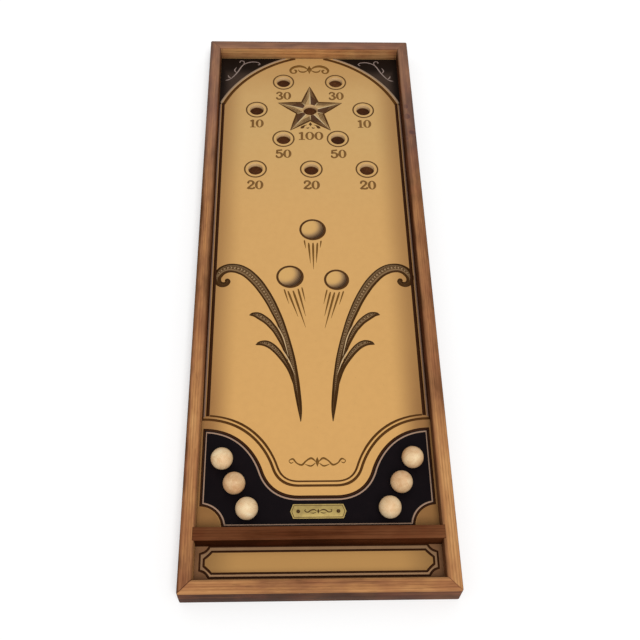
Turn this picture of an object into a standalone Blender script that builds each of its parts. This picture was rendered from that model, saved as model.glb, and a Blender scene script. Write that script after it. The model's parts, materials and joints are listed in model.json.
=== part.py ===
# Table-top ball game: a drilled playing board and its back panel framed by mitred wooden rails,
# with a crossbar that fences off a ball tray at the player's end, six turned balls standing in
# shallow seats and a small brass plate. Units are metres, +Z is up, the player stands at -Y,
# and the origin is in the middle of the plane that the rails stand on.

import math

import bmesh
import bpy
from mathutils import Matrix

# Frame rails
FRAME_WIDTH = 0.406
FRAME_LENGTH = 1.146
RAIL_HEIGHT = 0.042
RAIL_WIDTH = 0.021
INNER_EDGE_RADIUS = 0.0045
OUTER_EDGE_RADIUS = 0.0025
FOOT_EDGE_RADIUS = 0.001

# Playing board and back panel, laid from below into a rebate in the rails
BOARD_THICKNESS = 0.009
PANEL_THICKNESS = 0.003
PANEL_RECESS = 0.0017
REBATE_DEPTH = 0.008

# Nails that hold the panel and the board against the rebate
NAIL_HEAD_RADIUS = 0.0021
NAIL_HEAD_HEIGHT = 0.0008
NAIL_SHANK_RADIUS = 0.0007
NAIL_POINT = 0.002
NAIL_BITE = 0.010
NAIL_INSET = 0.0035
NAILS_PER_SIDE = 5
NAILS_PER_END = 2

# Loose tongues glued across the mitres
TONGUE_THICKNESS = 0.003
TONGUE_WIDTH = 0.010
TONGUE_FLOOR = 0.003
TONGUE_COVER = 0.006

# Crossbar, let into the side rails and screwed down from below
BAR_WIDTH = 0.020
BAR_EDGE_RADIUS = 0.0015
HOUSING_DEPTH = 0.003
TRAY_DEPTH = 0.057

# Countersunk screws that hold the crossbar
SCREW_HEAD_RADIUS = 0.0035
SCREW_HEAD_DEPTH = 0.0019
SCREW_SHANK_RADIUS = 0.0016
SCREW_POINT = 0.003
SCREW_BITE = 0.012
SCREW_SLOT_WIDTH = 0.0009
SCREW_SLOT_DEPTH = 0.0008
SCREW_END_MARGIN = 0.052

# Scoring holes, on a staggered grid counted from the back rail
HOLE_DIAMETER = 0.028
HOLE_COLUMN_PITCH = 0.05325
HOLE_ROW_PITCH = 0.0789
HOLE_BACK_MARGIN = 0.070
HOLE_ROWS = ((-1, 1), (-2, 0, 2), (-1, 1), (-2, 0, 2))

# Balls, in two slanting rows of shallow seats behind the crossbar
BALL_DIAMETER = 0.034
BALLS_PER_ROW = 3
BALL_SPACING = 0.0112
BALL_ROW_ANGLE = math.radians(63.8)
BALL_TO_RAIL = 0.0177
BALL_TO_BAR = 0.0157
SEAT_DEPTH = 0.002

# Brass plate between the two rows of balls, on two round-headed pins
PLATE_LENGTH = 0.085
PLATE_DEPTH = 0.023
PLATE_POINT = 0.0043
PLATE_THICKNESS = 0.0012
PLATE_TO_BAR = 0.0211
PIN_END_MARGIN = 0.0122
PIN_HEAD_RADIUS = 0.0018
PIN_HEAD_HEIGHT = 0.0011
PIN_SHANK_RADIUS = 0.0008
PIN_POINT = 0.0015
PIN_TIP_COVER = 0.003

# Clearance between pieces that touch, and how far a cutter runs past a face
FIT_GAP = 0.0003
CUT_PAST = 0.005

# Facets
EDGE_STEPS = 4
HOLE_SIDES = 40
BALL_SIDES = 28
BALL_RINGS = 14
SCREW_SIDES = 16
NAIL_SIDES = 10
DOME_STEPS = 3
SMOOTH_ANGLE = math.radians(35)

# Places that follow from the sizes above
INNER_HALF_WIDTH = FRAME_WIDTH / 2 - RAIL_WIDTH
INNER_HALF_LENGTH = FRAME_LENGTH / 2 - RAIL_WIDTH
BOARD_BOTTOM = PANEL_RECESS + PANEL_THICKNESS + FIT_GAP
BOARD_TOP = BOARD_BOTTOM + BOARD_THICKNESS
LEDGE_HEIGHT = BOARD_TOP + FIT_GAP
REBATE_WALL = RAIL_WIDTH - REBATE_DEPTH
NAIL_SEAT = PANEL_RECESS - FIT_GAP
NAIL_LENGTH = LEDGE_HEIGHT - NAIL_SEAT + NAIL_BITE
BAR_FRONT = -INNER_HALF_LENGTH + TRAY_DEPTH
BAR_BACK = BAR_FRONT + BAR_WIDTH
BAR_MIDDLE = (BAR_FRONT + BAR_BACK) / 2
BAR_BOTTOM = BOARD_TOP + FIT_GAP
BALL_RADIUS = BALL_DIAMETER / 2
SEAT_RADIUS = BALL_RADIUS + FIT_GAP
BALL_HEIGHT = BOARD_TOP - SEAT_DEPTH + SEAT_RADIUS
PLATE_BOTTOM = BOARD_TOP + FIT_GAP
PLATE_MIDDLE = BAR_BACK + PLATE_TO_BAR + PLATE_DEPTH / 2
PIN_SEAT = PLATE_BOTTOM + PLATE_THICKNESS + FIT_GAP
PIN_REACH = PIN_SEAT - BOARD_BOTTOM - PIN_TIP_COVER
SCREW_SEAT = BOARD_BOTTOM + FIT_GAP
SCREW_LENGTH = BOARD_TOP - SCREW_SEAT + SCREW_BITE


def clear_scene():
    for obj in list(bpy.data.objects):
        bpy.data.objects.remove(obj, do_unlink=True)


def finish(name, colour, roughness, metallic=0.0):
    material = bpy.data.materials.new(name)
    material.use_nodes = True
    shader = material.node_tree.nodes["Principled BSDF"]
    shader.inputs["Base Color"].default_value = (*colour, 1.0)
    shader.inputs["Roughness"].default_value = roughness
    shader.inputs["Metallic"].default_value = metallic
    material.diffuse_color = (*colour, 1.0)
    return material


def add_object(name, bm, location=(0, 0, 0), turn=0.0):
    bmesh.ops.recalc_face_normals(bm, faces=bm.faces)
    mesh = bpy.data.meshes.new(name)
    bm.to_mesh(mesh)
    bm.free()
    mesh.shade_smooth()
    mesh.set_sharp_from_angle(angle=SMOOTH_ANGLE)
    obj = bpy.data.objects.new(name, mesh)
    obj.location = location
    obj.rotation_euler = (0, 0, turn)
    bpy.context.scene.collection.objects.link(obj)
    return obj


def make_piece(obj, material, table):
    obj.data.materials.append(material)
    obj.parent = table
    return obj


def make_cutter(obj):
    obj.hide_render = True
    obj.display_type = "WIRE"
    return obj


def cut(obj, *cutters):
    for cutter in cutters:
        modifier = obj.modifiers.new("cut_" + cutter.name, "BOOLEAN")
        modifier.operation = "DIFFERENCE"
        modifier.solver = "EXACT"
        modifier.object = cutter


def quarter_arc(centre, radius, start, end):
    points = []
    for step in range(EDGE_STEPS + 1):
        angle = math.radians(start + (end - start) * step / EDGE_STEPS)
        points.append((centre[0] + radius * math.cos(angle), centre[1] + radius * math.sin(angle)))
    return points


# A straight length along X of a profile in Y and Z. half_length says how far each
# point of the profile runs, so that a mitre follows from it.
def swept(profile, half_length):
    bm = bmesh.new()
    ends = []
    for side in (-1, 1):
        ends.append([bm.verts.new((side * half_length(y), y, z)) for y, z in profile])
    for i in range(len(profile)):
        j = (i + 1) % len(profile)
        bm.faces.new((ends[0][i], ends[0][j], ends[1][j], ends[1][i]))
    for end in ends:
        bm.faces.new(end)
    return bm


# A profile of (radius, z) points from axis to axis, turned about Z.
def turned(profile, sides):
    bm = bmesh.new()
    points = [bm.verts.new((radius, 0, z)) for radius, z in profile]
    edges = [bm.edges.new(pair) for pair in zip(points, points[1:])]
    bmesh.ops.spin(
        bm, geom=points + edges, axis=(0, 0, 1), cent=(0, 0, 0), angle=math.tau, steps=sides, use_merge=True
    )
    bmesh.ops.remove_doubles(bm, verts=bm.verts, dist=FIT_GAP / 100)
    return bm


def block(size):
    bm = bmesh.new()
    bmesh.ops.create_cube(bm, size=1.0, matrix=Matrix.Diagonal((*size, 1.0)))
    return bm


# Rail seen end on: Y runs inwards from the outer face, Z up from the foot.
def rail_profile():
    points = quarter_arc((FOOT_EDGE_RADIUS, FOOT_EDGE_RADIUS), FOOT_EDGE_RADIUS, 270, 180)
    points += quarter_arc((OUTER_EDGE_RADIUS, RAIL_HEIGHT - OUTER_EDGE_RADIUS), OUTER_EDGE_RADIUS, 180, 90)
    inner_centre = (RAIL_WIDTH - INNER_EDGE_RADIUS, RAIL_HEIGHT - INNER_EDGE_RADIUS)
    points += quarter_arc(inner_centre, INNER_EDGE_RADIUS, 90, 0)
    points += [(RAIL_WIDTH, LEDGE_HEIGHT), (REBATE_WALL, LEDGE_HEIGHT), (REBATE_WALL, 0)]
    return points


def mitred_rail(name, outer_length, location, turn):
    mitre_shift = FIT_GAP / math.sqrt(2)

    def half_length(inset):
        return outer_length / 2 - inset - mitre_shift

    return add_object(name, swept(rail_profile(), half_length), location, turn)


# A tongue crosses the mitre square to it, in the middle of the rails' width. With a gap
# it is the slot that the tongue sits in.
def mitre_tongue(name, side_x, side_y, gap):
    bottom = LEDGE_HEIGHT + TONGUE_FLOOR
    top = RAIL_HEIGHT - TONGUE_COVER
    size = (TONGUE_WIDTH + 2 * gap, TONGUE_THICKNESS + 2 * gap, top - bottom + 2 * gap)
    x = side_x * (FRAME_WIDTH - RAIL_WIDTH) / 2
    y = side_y * (FRAME_LENGTH - RAIL_WIDTH) / 2
    return add_object(name, block(size), (x, y, (top + bottom) / 2), -side_x * side_y * math.pi / 4)


def make_frame(wood, tongue_wood, housing, nail_bores, table):
    rails = {
        "front": mitred_rail("front_rail", FRAME_WIDTH, (0, -FRAME_LENGTH / 2, 0), 0),
        "right": mitred_rail("right_rail", FRAME_LENGTH, (FRAME_WIDTH / 2, 0, 0), math.pi / 2),
        "back": mitred_rail("back_rail", FRAME_WIDTH, (0, FRAME_LENGTH / 2, 0), math.pi),
        "left": mitred_rail("left_rail", FRAME_LENGTH, (-FRAME_WIDTH / 2, 0, 0), -math.pi / 2),
    }
    for rail in rails.values():
        make_piece(rail, wood, table)
        cut(rail, nail_bores)
    for side_x, x_name in ((-1, "left"), (1, "right")):
        for side_y, y_name in ((-1, "front"), (1, "back")):
            corner = y_name + "_" + x_name
            slot = make_cutter(mitre_tongue("tongue_slot_" + corner, side_x, side_y, FIT_GAP))
            cut(rails[x_name], slot)
            cut(rails[y_name], slot)
            tongue = mitre_tongue("mitre_tongue_" + corner, side_x, side_y, 0.0)
            make_piece(tongue, tongue_wood, table)
        cut(rails[x_name], housing)


# Cutter for the housings: the crossbar's footprint with its fit, past the rails' top.
def bar_housing():
    bottom = (BOARD_BOTTOM + BOARD_TOP) / 2
    top = RAIL_HEIGHT + CUT_PAST
    size = (2 * (INNER_HALF_WIDTH + HOUSING_DEPTH), BAR_WIDTH + 2 * FIT_GAP, top - bottom)
    return make_cutter(add_object("bar_housing", block(size), (0, BAR_MIDDLE, (top + bottom) / 2)))


def make_crossbar(wood, bores, table):
    half = BAR_WIDTH / 2
    profile = [(half, BAR_BOTTOM), (-half, BAR_BOTTOM)]
    edge_height = RAIL_HEIGHT - BAR_EDGE_RADIUS
    profile += quarter_arc((BAR_EDGE_RADIUS - half, edge_height), BAR_EDGE_RADIUS, 180, 90)
    profile += quarter_arc((half - BAR_EDGE_RADIUS, edge_height), BAR_EDGE_RADIUS, 90, 0)

    def half_length(_):
        return INNER_HALF_WIDTH + HOUSING_DEPTH - FIT_GAP

    bar = make_piece(add_object("crossbar", swept(profile, half_length), (0, BAR_MIDDLE, 0)), wood, table)
    cut(bar, *bores)


# The screw from its head's rim to its point, grown by a gap for the bore that takes it.
def screw_profile(gap):
    return [
        (SCREW_HEAD_RADIUS + gap, 0),
        (SCREW_SHANK_RADIUS + gap, SCREW_HEAD_DEPTH),
        (SCREW_SHANK_RADIUS + gap, SCREW_LENGTH - SCREW_POINT + gap),
        (0, SCREW_LENGTH + gap),
    ]


# Screws run up through the board into the crossbar, their heads sunk in the underside.
def make_screws(steel, table):
    bores = []
    body = [(0, 0)] + screw_profile(0)
    bore_body = [(0, -CUT_PAST), (SCREW_HEAD_RADIUS + FIT_GAP, -CUT_PAST)] + screw_profile(FIT_GAP)
    for name, place in (("left", -1), ("middle", 0), ("right", 1)):
        seat = (place * (INNER_HALF_WIDTH - SCREW_END_MARGIN), BAR_MIDDLE, SCREW_SEAT)
        bores.append(make_cutter(add_object("bar_screw_bore_" + name, turned(bore_body, SCREW_SIDES), seat)))
        screw = make_piece(add_object("bar_screw_" + name, turned(body, SCREW_SIDES), seat), steel, table)
        slot_size = (2 * SCREW_HEAD_RADIUS + CUT_PAST, SCREW_SLOT_WIDTH, 2 * SCREW_SLOT_DEPTH)
        cut(screw, make_cutter(add_object("bar_screw_slot_" + name, block(slot_size), seat)))
    return bores


def hole_centres():
    centres = []
    for row, columns in enumerate(HOLE_ROWS):
        y = INNER_HALF_LENGTH - HOLE_BACK_MARGIN - row * HOLE_ROW_PITCH
        centres += [(column * HOLE_COLUMN_PITCH, y) for column in columns]
    return centres


def ball_centres(side):
    step = BALL_DIAMETER + BALL_SPACING
    outer_x = INNER_HALF_WIDTH - BALL_TO_RAIL - BALL_RADIUS
    inner_y = BAR_BACK + BALL_TO_BAR + BALL_RADIUS
    centres = []
    for i in range(BALLS_PER_ROW):
        x = outer_x - (BALLS_PER_ROW - 1 - i) * step * math.cos(BALL_ROW_ANGLE)
        y = inner_y + i * step * math.sin(BALL_ROW_ANGLE)
        centres.append((side * x, y, BALL_HEIGHT))
    return centres


def scoring_holes():
    bm = bmesh.new()
    depth = BOARD_THICKNESS + 2 * CUT_PAST
    for x, y in hole_centres():
        place = Matrix.Translation((x, y, BOARD_BOTTOM + BOARD_THICKNESS / 2))
        bmesh.ops.create_cone(
            bm, cap_ends=True, segments=HOLE_SIDES, radius1=HOLE_DIAMETER / 2, radius2=HOLE_DIAMETER / 2,
            depth=depth, matrix=place
        )
    return make_cutter(add_object("scoring_holes", bm))


def ball_seats():
    bm = bmesh.new()
    for side in (-1, 1):
        for centre in ball_centres(side):
            bmesh.ops.create_uvsphere(
                bm, u_segments=BALL_SIDES, v_segments=BALL_RINGS, radius=SEAT_RADIUS,
                matrix=Matrix.Translation(centre)
            )
    return make_cutter(add_object("ball_seats", bm))


# A sheet that fills the rebate from side to side and end to end.
def rebated_sheet(name, thickness, bottom):
    edge = REBATE_DEPTH - FIT_GAP
    size = (2 * (INNER_HALF_WIDTH + edge), 2 * (INNER_HALF_LENGTH + edge), thickness)
    return add_object(name, block(size), (0, 0, bottom + thickness / 2))


def make_sheets(print_face, hardboard, board_cutters, nail_bores, table):
    board = make_piece(rebated_sheet("playing_board", BOARD_THICKNESS, BOARD_BOTTOM), print_face, table)
    cut(board, scoring_holes(), ball_seats(), nail_bores, *board_cutters)
    panel = make_piece(rebated_sheet("back_panel", PANEL_THICKNESS, PANEL_RECESS), hardboard, table)
    cut(panel, nail_bores)


# Nails stand in the rebate, evenly along each rail.
def nail_places():
    side_x = FRAME_WIDTH / 2 - REBATE_WALL - NAIL_INSET
    end_y = FRAME_LENGTH / 2 - REBATE_WALL - NAIL_INSET
    side_step = 2 * INNER_HALF_LENGTH / NAILS_PER_SIDE
    end_step = 2 * INNER_HALF_WIDTH / NAILS_PER_END
    places = {}
    for sign, side, end in ((-1, "left", "front"), (1, "right", "back")):
        for i in range(NAILS_PER_SIDE):
            places[f"{side}_{i + 1}"] = (sign * side_x, (i + 0.5) * side_step - INNER_HALF_LENGTH)
        for i in range(NAILS_PER_END):
            places[f"{end}_{i + 1}"] = ((i + 0.5) * end_step - INNER_HALF_WIDTH, sign * end_y)
    return places


# Nails point up from the panel's underside. Returns one cutter with the bores of them all.
def make_nails(steel, table):
    head = [(0, -NAIL_HEAD_HEIGHT), (NAIL_HEAD_RADIUS, -NAIL_HEAD_HEIGHT), (NAIL_HEAD_RADIUS, 0)]
    stem = [(NAIL_SHANK_RADIUS, 0), (NAIL_SHANK_RADIUS, NAIL_LENGTH - NAIL_POINT), (0, NAIL_LENGTH)]
    bores = bmesh.new()
    bore_radius = NAIL_SHANK_RADIUS + FIT_GAP
    bore_depth = NAIL_LENGTH + FIT_GAP + CUT_PAST
    bore_middle = NAIL_SEAT + NAIL_LENGTH + FIT_GAP - bore_depth / 2
    for name, (x, y) in nail_places().items():
        nail = add_object("panel_nail_" + name, turned(head + stem, NAIL_SIDES), (x, y, NAIL_SEAT))
        make_piece(nail, steel, table)
        bmesh.ops.create_cone(
            bores, cap_ends=True, segments=NAIL_SIDES, radius1=bore_radius, radius2=bore_radius,
            depth=bore_depth, matrix=Matrix.Translation((x, y, bore_middle))
        )
    return make_cutter(add_object("panel_nail_bores", bores))


def make_balls(wood, table):
    for side, name in ((-1, "left"), (1, "right")):
        for number, centre in enumerate(ball_centres(side), 1):
            bm = bmesh.new()
            bmesh.ops.create_uvsphere(bm, u_segments=BALL_SIDES, v_segments=BALL_RINGS, radius=BALL_RADIUS)
            make_piece(add_object(f"ball_{name}_{number}", bm, centre), wood, table)


# Pins point down from the top of the plate; the bore takes the shank with its fit.
def make_pins(brass, table):
    bores = []
    stem = [(0, -PIN_REACH), (PIN_SHANK_RADIUS, PIN_POINT - PIN_REACH), (PIN_SHANK_RADIUS, 0)]
    dome = []
    for step in range(DOME_STEPS + 1):
        angle = math.pi / 2 * step / DOME_STEPS
        dome.append((PIN_HEAD_RADIUS * math.cos(angle), PIN_HEAD_HEIGHT * math.sin(angle)))
    bore_radius = PIN_SHANK_RADIUS + FIT_GAP
    bore_end = -PIN_REACH - FIT_GAP
    bore_profile = [(0, bore_end), (bore_radius, bore_end), (bore_radius, CUT_PAST), (0, CUT_PAST)]
    for side, name in ((-1, "left"), (1, "right")):
        seat = (side * (PLATE_LENGTH / 2 - PIN_END_MARGIN), PLATE_MIDDLE, PIN_SEAT)
        make_piece(add_object("plate_pin_" + name, turned(stem + dome, SCREW_SIDES), seat), brass, table)
        bore = add_object("plate_pin_bore_" + name, turned(bore_profile, SCREW_SIDES), seat)
        bores.append(make_cutter(bore))
    return bores


def make_plate(brass, bores, table):
    half_depth = PLATE_DEPTH / 2
    tip = PLATE_LENGTH / 2
    shoulder = tip - PLATE_POINT
    outline = [(tip, 0), (shoulder, half_depth), (-shoulder, half_depth)]
    outline += [(-tip, 0), (-shoulder, -half_depth), (shoulder, -half_depth)]
    bm = bmesh.new()
    face = bm.faces.new([bm.verts.new((x, y, 0)) for x, y in outline])
    raised = bmesh.ops.extrude_face_region(bm, geom=[face])
    tops = [item for item in raised["geom"] if isinstance(item, bmesh.types.BMVert)]
    bmesh.ops.translate(bm, vec=(0, 0, PLATE_THICKNESS), verts=tops)
    plate = make_piece(add_object("brass_plate", bm, (0, PLATE_MIDDLE, PLATE_BOTTOM)), brass, table)
    cut(plate, *bores)


def main():
    clear_scene()
    table = bpy.data.objects.new("table", None)
    bpy.context.scene.collection.objects.link(table)
    rail_wood = finish("chestnut_stained_wood", (0.40, 0.19, 0.08), 0.45)
    bar_wood = finish("dark_stained_wood", (0.16, 0.06, 0.035), 0.42)
    tongue_wood = finish("plywood_tongue", (0.62, 0.46, 0.28), 0.65)
    print_face = finish("printed_board", (0.60, 0.39, 0.15), 0.40)
    hardboard = finish("brown_hardboard", (0.17, 0.085, 0.04), 0.70)
    ball_wood = finish("turned_beech", (0.78, 0.60, 0.40), 0.40)
    brass = finish("pale_brass", (0.72, 0.58, 0.27), 0.32, 1.0)
    steel = finish("screw_steel", (0.55, 0.55, 0.56), 0.35, 1.0)
    screw_bores = make_screws(steel, table)
    pin_bores = make_pins(brass, table)
    nail_bores = make_nails(steel, table)
    make_frame(rail_wood, tongue_wood, bar_housing(), nail_bores, table)
    make_crossbar(bar_wood, screw_bores, table)
    make_sheets(print_face, hardboard, screw_bores + pin_bores, nail_bores, table)
    make_plate(brass, pin_bores, table)
    make_balls(ball_wood, table)


main()
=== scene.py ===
import json
import math

import bmesh
import bpy
from mathutils import Euler, Matrix, Vector, noise


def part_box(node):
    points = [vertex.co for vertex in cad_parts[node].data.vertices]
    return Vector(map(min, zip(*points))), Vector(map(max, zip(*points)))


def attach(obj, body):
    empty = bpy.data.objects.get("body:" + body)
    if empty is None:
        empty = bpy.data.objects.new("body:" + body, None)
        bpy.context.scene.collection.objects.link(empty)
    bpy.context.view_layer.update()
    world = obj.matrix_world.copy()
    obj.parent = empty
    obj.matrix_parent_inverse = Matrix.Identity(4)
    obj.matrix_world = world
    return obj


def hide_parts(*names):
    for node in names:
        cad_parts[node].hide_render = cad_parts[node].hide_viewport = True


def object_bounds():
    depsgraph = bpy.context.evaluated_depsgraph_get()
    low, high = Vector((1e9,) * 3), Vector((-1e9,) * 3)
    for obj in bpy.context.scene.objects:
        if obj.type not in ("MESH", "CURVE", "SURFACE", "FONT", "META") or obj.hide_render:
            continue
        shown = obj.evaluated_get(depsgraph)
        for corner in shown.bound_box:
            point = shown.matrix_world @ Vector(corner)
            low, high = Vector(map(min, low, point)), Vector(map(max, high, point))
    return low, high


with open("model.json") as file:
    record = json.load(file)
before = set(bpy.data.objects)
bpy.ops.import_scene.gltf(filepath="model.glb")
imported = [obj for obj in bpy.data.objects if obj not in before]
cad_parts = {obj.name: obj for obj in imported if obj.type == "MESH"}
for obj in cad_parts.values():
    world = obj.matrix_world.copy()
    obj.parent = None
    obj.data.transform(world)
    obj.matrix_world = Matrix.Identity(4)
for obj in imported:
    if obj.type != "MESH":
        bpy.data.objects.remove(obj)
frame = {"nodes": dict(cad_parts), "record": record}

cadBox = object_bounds()
mm = 0.001
tiny = 1e-7
mergeReach = 1e-6


class Wire:
    # one socket of a node tree, so that Python maths on it adds Math nodes
    def __init__(self, tree, socket=None):
        self.tree = tree
        self.socket = socket

    def node(self, kind, settings=None, sockets=None, out=0):
        made = self.tree.nodes.new(kind)
        for name, value in (settings or {}).items():
            if name == "stops":
                setStops(made.color_ramp, value)
            else:
                setattr(made, name, value)
        for name, value in (sockets or {}).items():
            if isinstance(value, Wire):
                self.tree.links.new(value.socket, made.inputs[name])
            else:
                made.inputs[name].default_value = value
        return Wire(self.tree, made.outputs[out] if len(made.outputs) else None)

    def other(self, out):
        return Wire(self.tree, self.socket.node.outputs[out])

    def math(self, operation, *values):
        return self.node("ShaderNodeMath", {"operation": operation}, dict(enumerate(values)))

    def __add__(self, value):
        return self.math("ADD", self, value)

    def __radd__(self, value):
        return self.math("ADD", value, self)

    def __sub__(self, value):
        return self.math("SUBTRACT", self, value)

    def __rsub__(self, value):
        return self.math("SUBTRACT", value, self)

    def __mul__(self, value):
        return self.math("MULTIPLY", self, value)

    def __rmul__(self, value):
        return self.math("MULTIPLY", value, self)

    def size(self):
        return self.math("ABSOLUTE", self)

    def smooth(self, low, high):
        # 0 at low, 1 at high, either way round
        return self.node("ShaderNodeMapRange", {"interpolation_type": "SMOOTHSTEP"},
                         {"Value": self, "From Min": low, "From Max": high})

    def ramp(self, *stops):
        return self.node("ShaderNodeValToRGB", {"stops": stops}, {0: self})

    def mix(self, first, second):
        # this wire is the share of the second colour
        return self.node("ShaderNodeMix", {"data_type": "RGBA"}, {0: self, 6: first, 7: second}, 2)

    def parts(self):
        split = self.node("ShaderNodeSeparateXYZ", None, {0: self})
        return split, split.other(1), split.other(2)

    def stretched(self, scale):
        return self.node("ShaderNodeMapping", None, {"Vector": self, "Scale": scale})

    def far(self, centre):
        return self.node("ShaderNodeVectorMath", {"operation": "DISTANCE"}, {0: self, 1: centre}, "Value")

    def grains(self, scale, detail, rough=0.55, twist=0.0):
        return self.node("ShaderNodeTexNoise", None, {
            "Vector": self, "Scale": scale, "Detail": detail, "Roughness": rough, "Distortion": twist})


def setStops(ramp, stops):
    while len(ramp.elements) < len(stops):
        ramp.elements.new(1.0)
    for element, (place, colour) in zip(ramp.elements, stops):
        element.position = place
        element.color = colour


def tint(red, green, blue):
    # a colour as an image editor shows it, as the linear values that shaders use
    def linear(level):
        share = level / 255
        return share / 12.92 if share <= 0.04045 else ((share + 0.055) / 1.055) ** 2.4

    return (linear(red), linear(green), linear(blue), 1.0)


def grey(level):
    return (level, level, level, 1.0)


def newMaterial(name):
    material = bpy.data.materials.new(name)
    material.use_nodes = True
    material.node_tree.nodes.clear()
    return material, Wire(material.node_tree)


def objectPlace(wire):
    return wire.node("ShaderNodeTexCoord", None, None, "Object")


def ownValue(wire, name, out="Fac"):
    return wire.node("ShaderNodeAttribute", {"attribute_name": name}, None, out)


def bumped(wire, height, strength, depth):
    return wire.node("ShaderNodeBump", None, {"Strength": strength, "Distance": depth, "Height": height})


def closeMaterial(wire, sockets):
    shader = wire.node("ShaderNodeBsdfPrincipled", None, sockets)
    wire.node("ShaderNodeOutputMaterial", None, {"Surface": shader})


# shared by the three woods
woodLook = {
    "ringTilt": 0.45, "poreEdge": (0.60, 0.72), "blushEdge": (0.44, 0.66), "lateEdge": (0.55, 1.0),
    "fibreShare": 0.40, "blotchShare": 0.50, "rubbedEdge": (0.42, 0.78), "rubbedGloss": 0.6,
    "knotWander": 0.012, "knotHeart": 0.25, "knotRings": 9.0, "knotShare": 0.85,
    "coatRoughness": 0.28, "reliefDepth": 0.3 * mm,
}


# Wood that carries its own grain places: x along the fibres, y and z across them
def woodMaterial(name, look):
    look = {**woodLook, **look}
    material, wire = newMaterial(name)
    grain = ownValue(wire, "grain", "Vector")
    wear = ownValue(wire, "wear")
    tone = ownValue(wire, "tone")
    across, radial = grain.parts()[1:]
    figure = grain.stretched(look["figure"]).grains(1.0, 5.0, 0.6, 0.7)
    fibre = grain.stretched(look["fibre"]).grains(1.0, 2.0, 0.6)
    pores = grain.stretched(look["pores"]).grains(1.0, 1.0).smooth(*look["poreEdge"])
    blotch = grain.grains(look["blotch"], 2.0)
    mottle = grain.stretched(look["mottle"]).grains(1.0, 3.0, 0.6)
    blush = grain.grains(look["blush"], 2.0, 0.5, 0.4).smooth(*look["blushEdge"])
    ringPlace = (across + radial * look["ringTilt"]) * look["ringRate"] + figure * look["ringWarp"]
    heart = None
    for *centre, reach in look["knots"]:
        away = grain.far(centre) + (mottle - 0.5) * look["knotWander"]
        near = away.smooth(reach, reach * look["knotHeart"])
        ringPlace = ringPlace + near * look["knotRings"]
        heart = near if heart is None else heart.math("MAXIMUM", heart, near)
    rings = ringPlace.math("SINE", ringPlace) * 0.5 + 0.5
    late = rings.smooth(*look["lateEdge"])
    shade = figure + fibre * look["fibreShare"] + blotch * look["blotchShare"] + mottle * look["mottleShare"]
    # the tone carries each piece's own tone and, on the rails and the bar, painted light and shade of their
    # faces
    shade = shade + tone * look["toneShare"] - look["level"]
    colour = shade.ramp(*look["colours"])
    colour = (blush * look["blushShare"]).mix(colour, look["blushColour"])
    if heart:
        core = heart.smooth(0.15, 0.7).mix(look["blushColour"], look["knot"])
        colour = (heart.smooth(0.0, 0.7) * look["knotShare"]).mix(colour, core)
    colour = (late * look["ringDepth"]).mix(colour, look["late"])
    colour = (pores * look["poreDepth"]).mix(colour, look["pore"])
    rubbed = wear * (blotch * 0.6 + figure * 0.7).smooth(*look["rubbedEdge"])
    colour = (rubbed * look["wearShare"]).mix(colour, look["worn"])
    place, height = objectPlace(wire).parts()[1:]
    if look["faded"]:
        # greyer tops towards the far end
        far = place.smooth(*look["fadedFrom"]) * height.smooth(*look["fadedTop"])
        colour = (far * look["faded"]).mix(colour, look["fadedColour"])
    # painted shade low down: each wood darkens from one height down to another, towards the floor, the board
    # and the balls' seats
    dark = height.smooth(look["grimeTop"], look["grimeLow"]) * look["grime"]
    colour = dark.mix(colour, look["dirt"])
    relief = fibre * 0.5 - pores * 0.8 - late * 0.2
    closeMaterial(wire, {
        "Base Color": colour,
        "Roughness": look["roughness"] + fibre * 0.14 + pores * 0.10 - rubbed * 0.06,
        "Coat Weight": (1 - rubbed * look["rubbedGloss"]) * look["varnish"],
        "Coat Roughness": look["coatRoughness"],
        "Specular IOR Level": look["gloss"],
        "Normal": bumped(wire, relief, look["relief"], look["reliefDepth"]),
    })
    return material


# a knot is a place in the grain and a reach; all four are on the right rail
railFinish = {
    "figure": (2.6, 46.0, 46.0), "fibre": (16.0, 760.0, 760.0), "pores": (46.0, 1500.0, 1500.0),
    "blotch": 9.0, "mottle": (24.0, 75.0, 75.0), "mottleShare": 0.55, "level": 0.87,
    "ringRate": 1500.0, "ringWarp": 9.0, "ringDepth": 0.30, "poreDepth": 0.45,
    "colours": ((0.05, tint(70, 40, 23)), (0.28, tint(112, 73, 47)), (0.50, tint(152, 103, 68)),
                (0.72, tint(180, 126, 79)), (0.95, tint(204, 152, 98))),
    "late": tint(92, 51, 30), "pore": tint(62, 35, 22), "worn": tint(200, 148, 98), "wearShare": 0.30,
    "blush": 14.0, "blushColour": tint(146, 84, 60), "blushShare": 0.30, "knot": tint(70, 33, 27),
    "knots": ((6.306, 1.925, 0.046, 9 * mm), (6.279, 1.925, 0.046, 12 * mm), (6.236, 1.915, 0.046, 12 * mm),
              (6.220, 1.932, 0.044, 9 * mm)),
    # the colour and heights of the painted shade low on the rails
    "dirt": tint(52, 31, 21), "grime": 0.40, "grimeTop": 26 * mm, "grimeLow": 13 * mm,
    "toneShare": 0.32, "roughness": 0.40, "varnish": 0.03, "gloss": 0.015, "relief": 0.35,
    "faded": 0.30, "fadedFrom": (0.12, 0.38), "fadedTop": (38.5 * mm, 41.5 * mm),
    "fadedColour": tint(128, 108, 104),
}
# the bar takes the rails' finish, with its own colour for the painted shade low down
barFinish = dict(
    railFinish, poreDepth=0.35, wearShare=0.20, grime=0.35, knots=(), faded=0.0,
    colours=((0.05, tint(46, 18, 5)), (0.30, tint(72, 34, 13)), (0.52, tint(96, 54, 30)),
             (0.75, tint(112, 67, 40)), (0.95, tint(128, 81, 50))),
    blushColour=tint(92, 42, 22), mottleShare=0.35, level=0.77,
    late=tint(50, 24, 12), pore=tint(34, 17, 10), worn=tint(124, 76, 46), dirt=tint(30, 15, 9))
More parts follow.
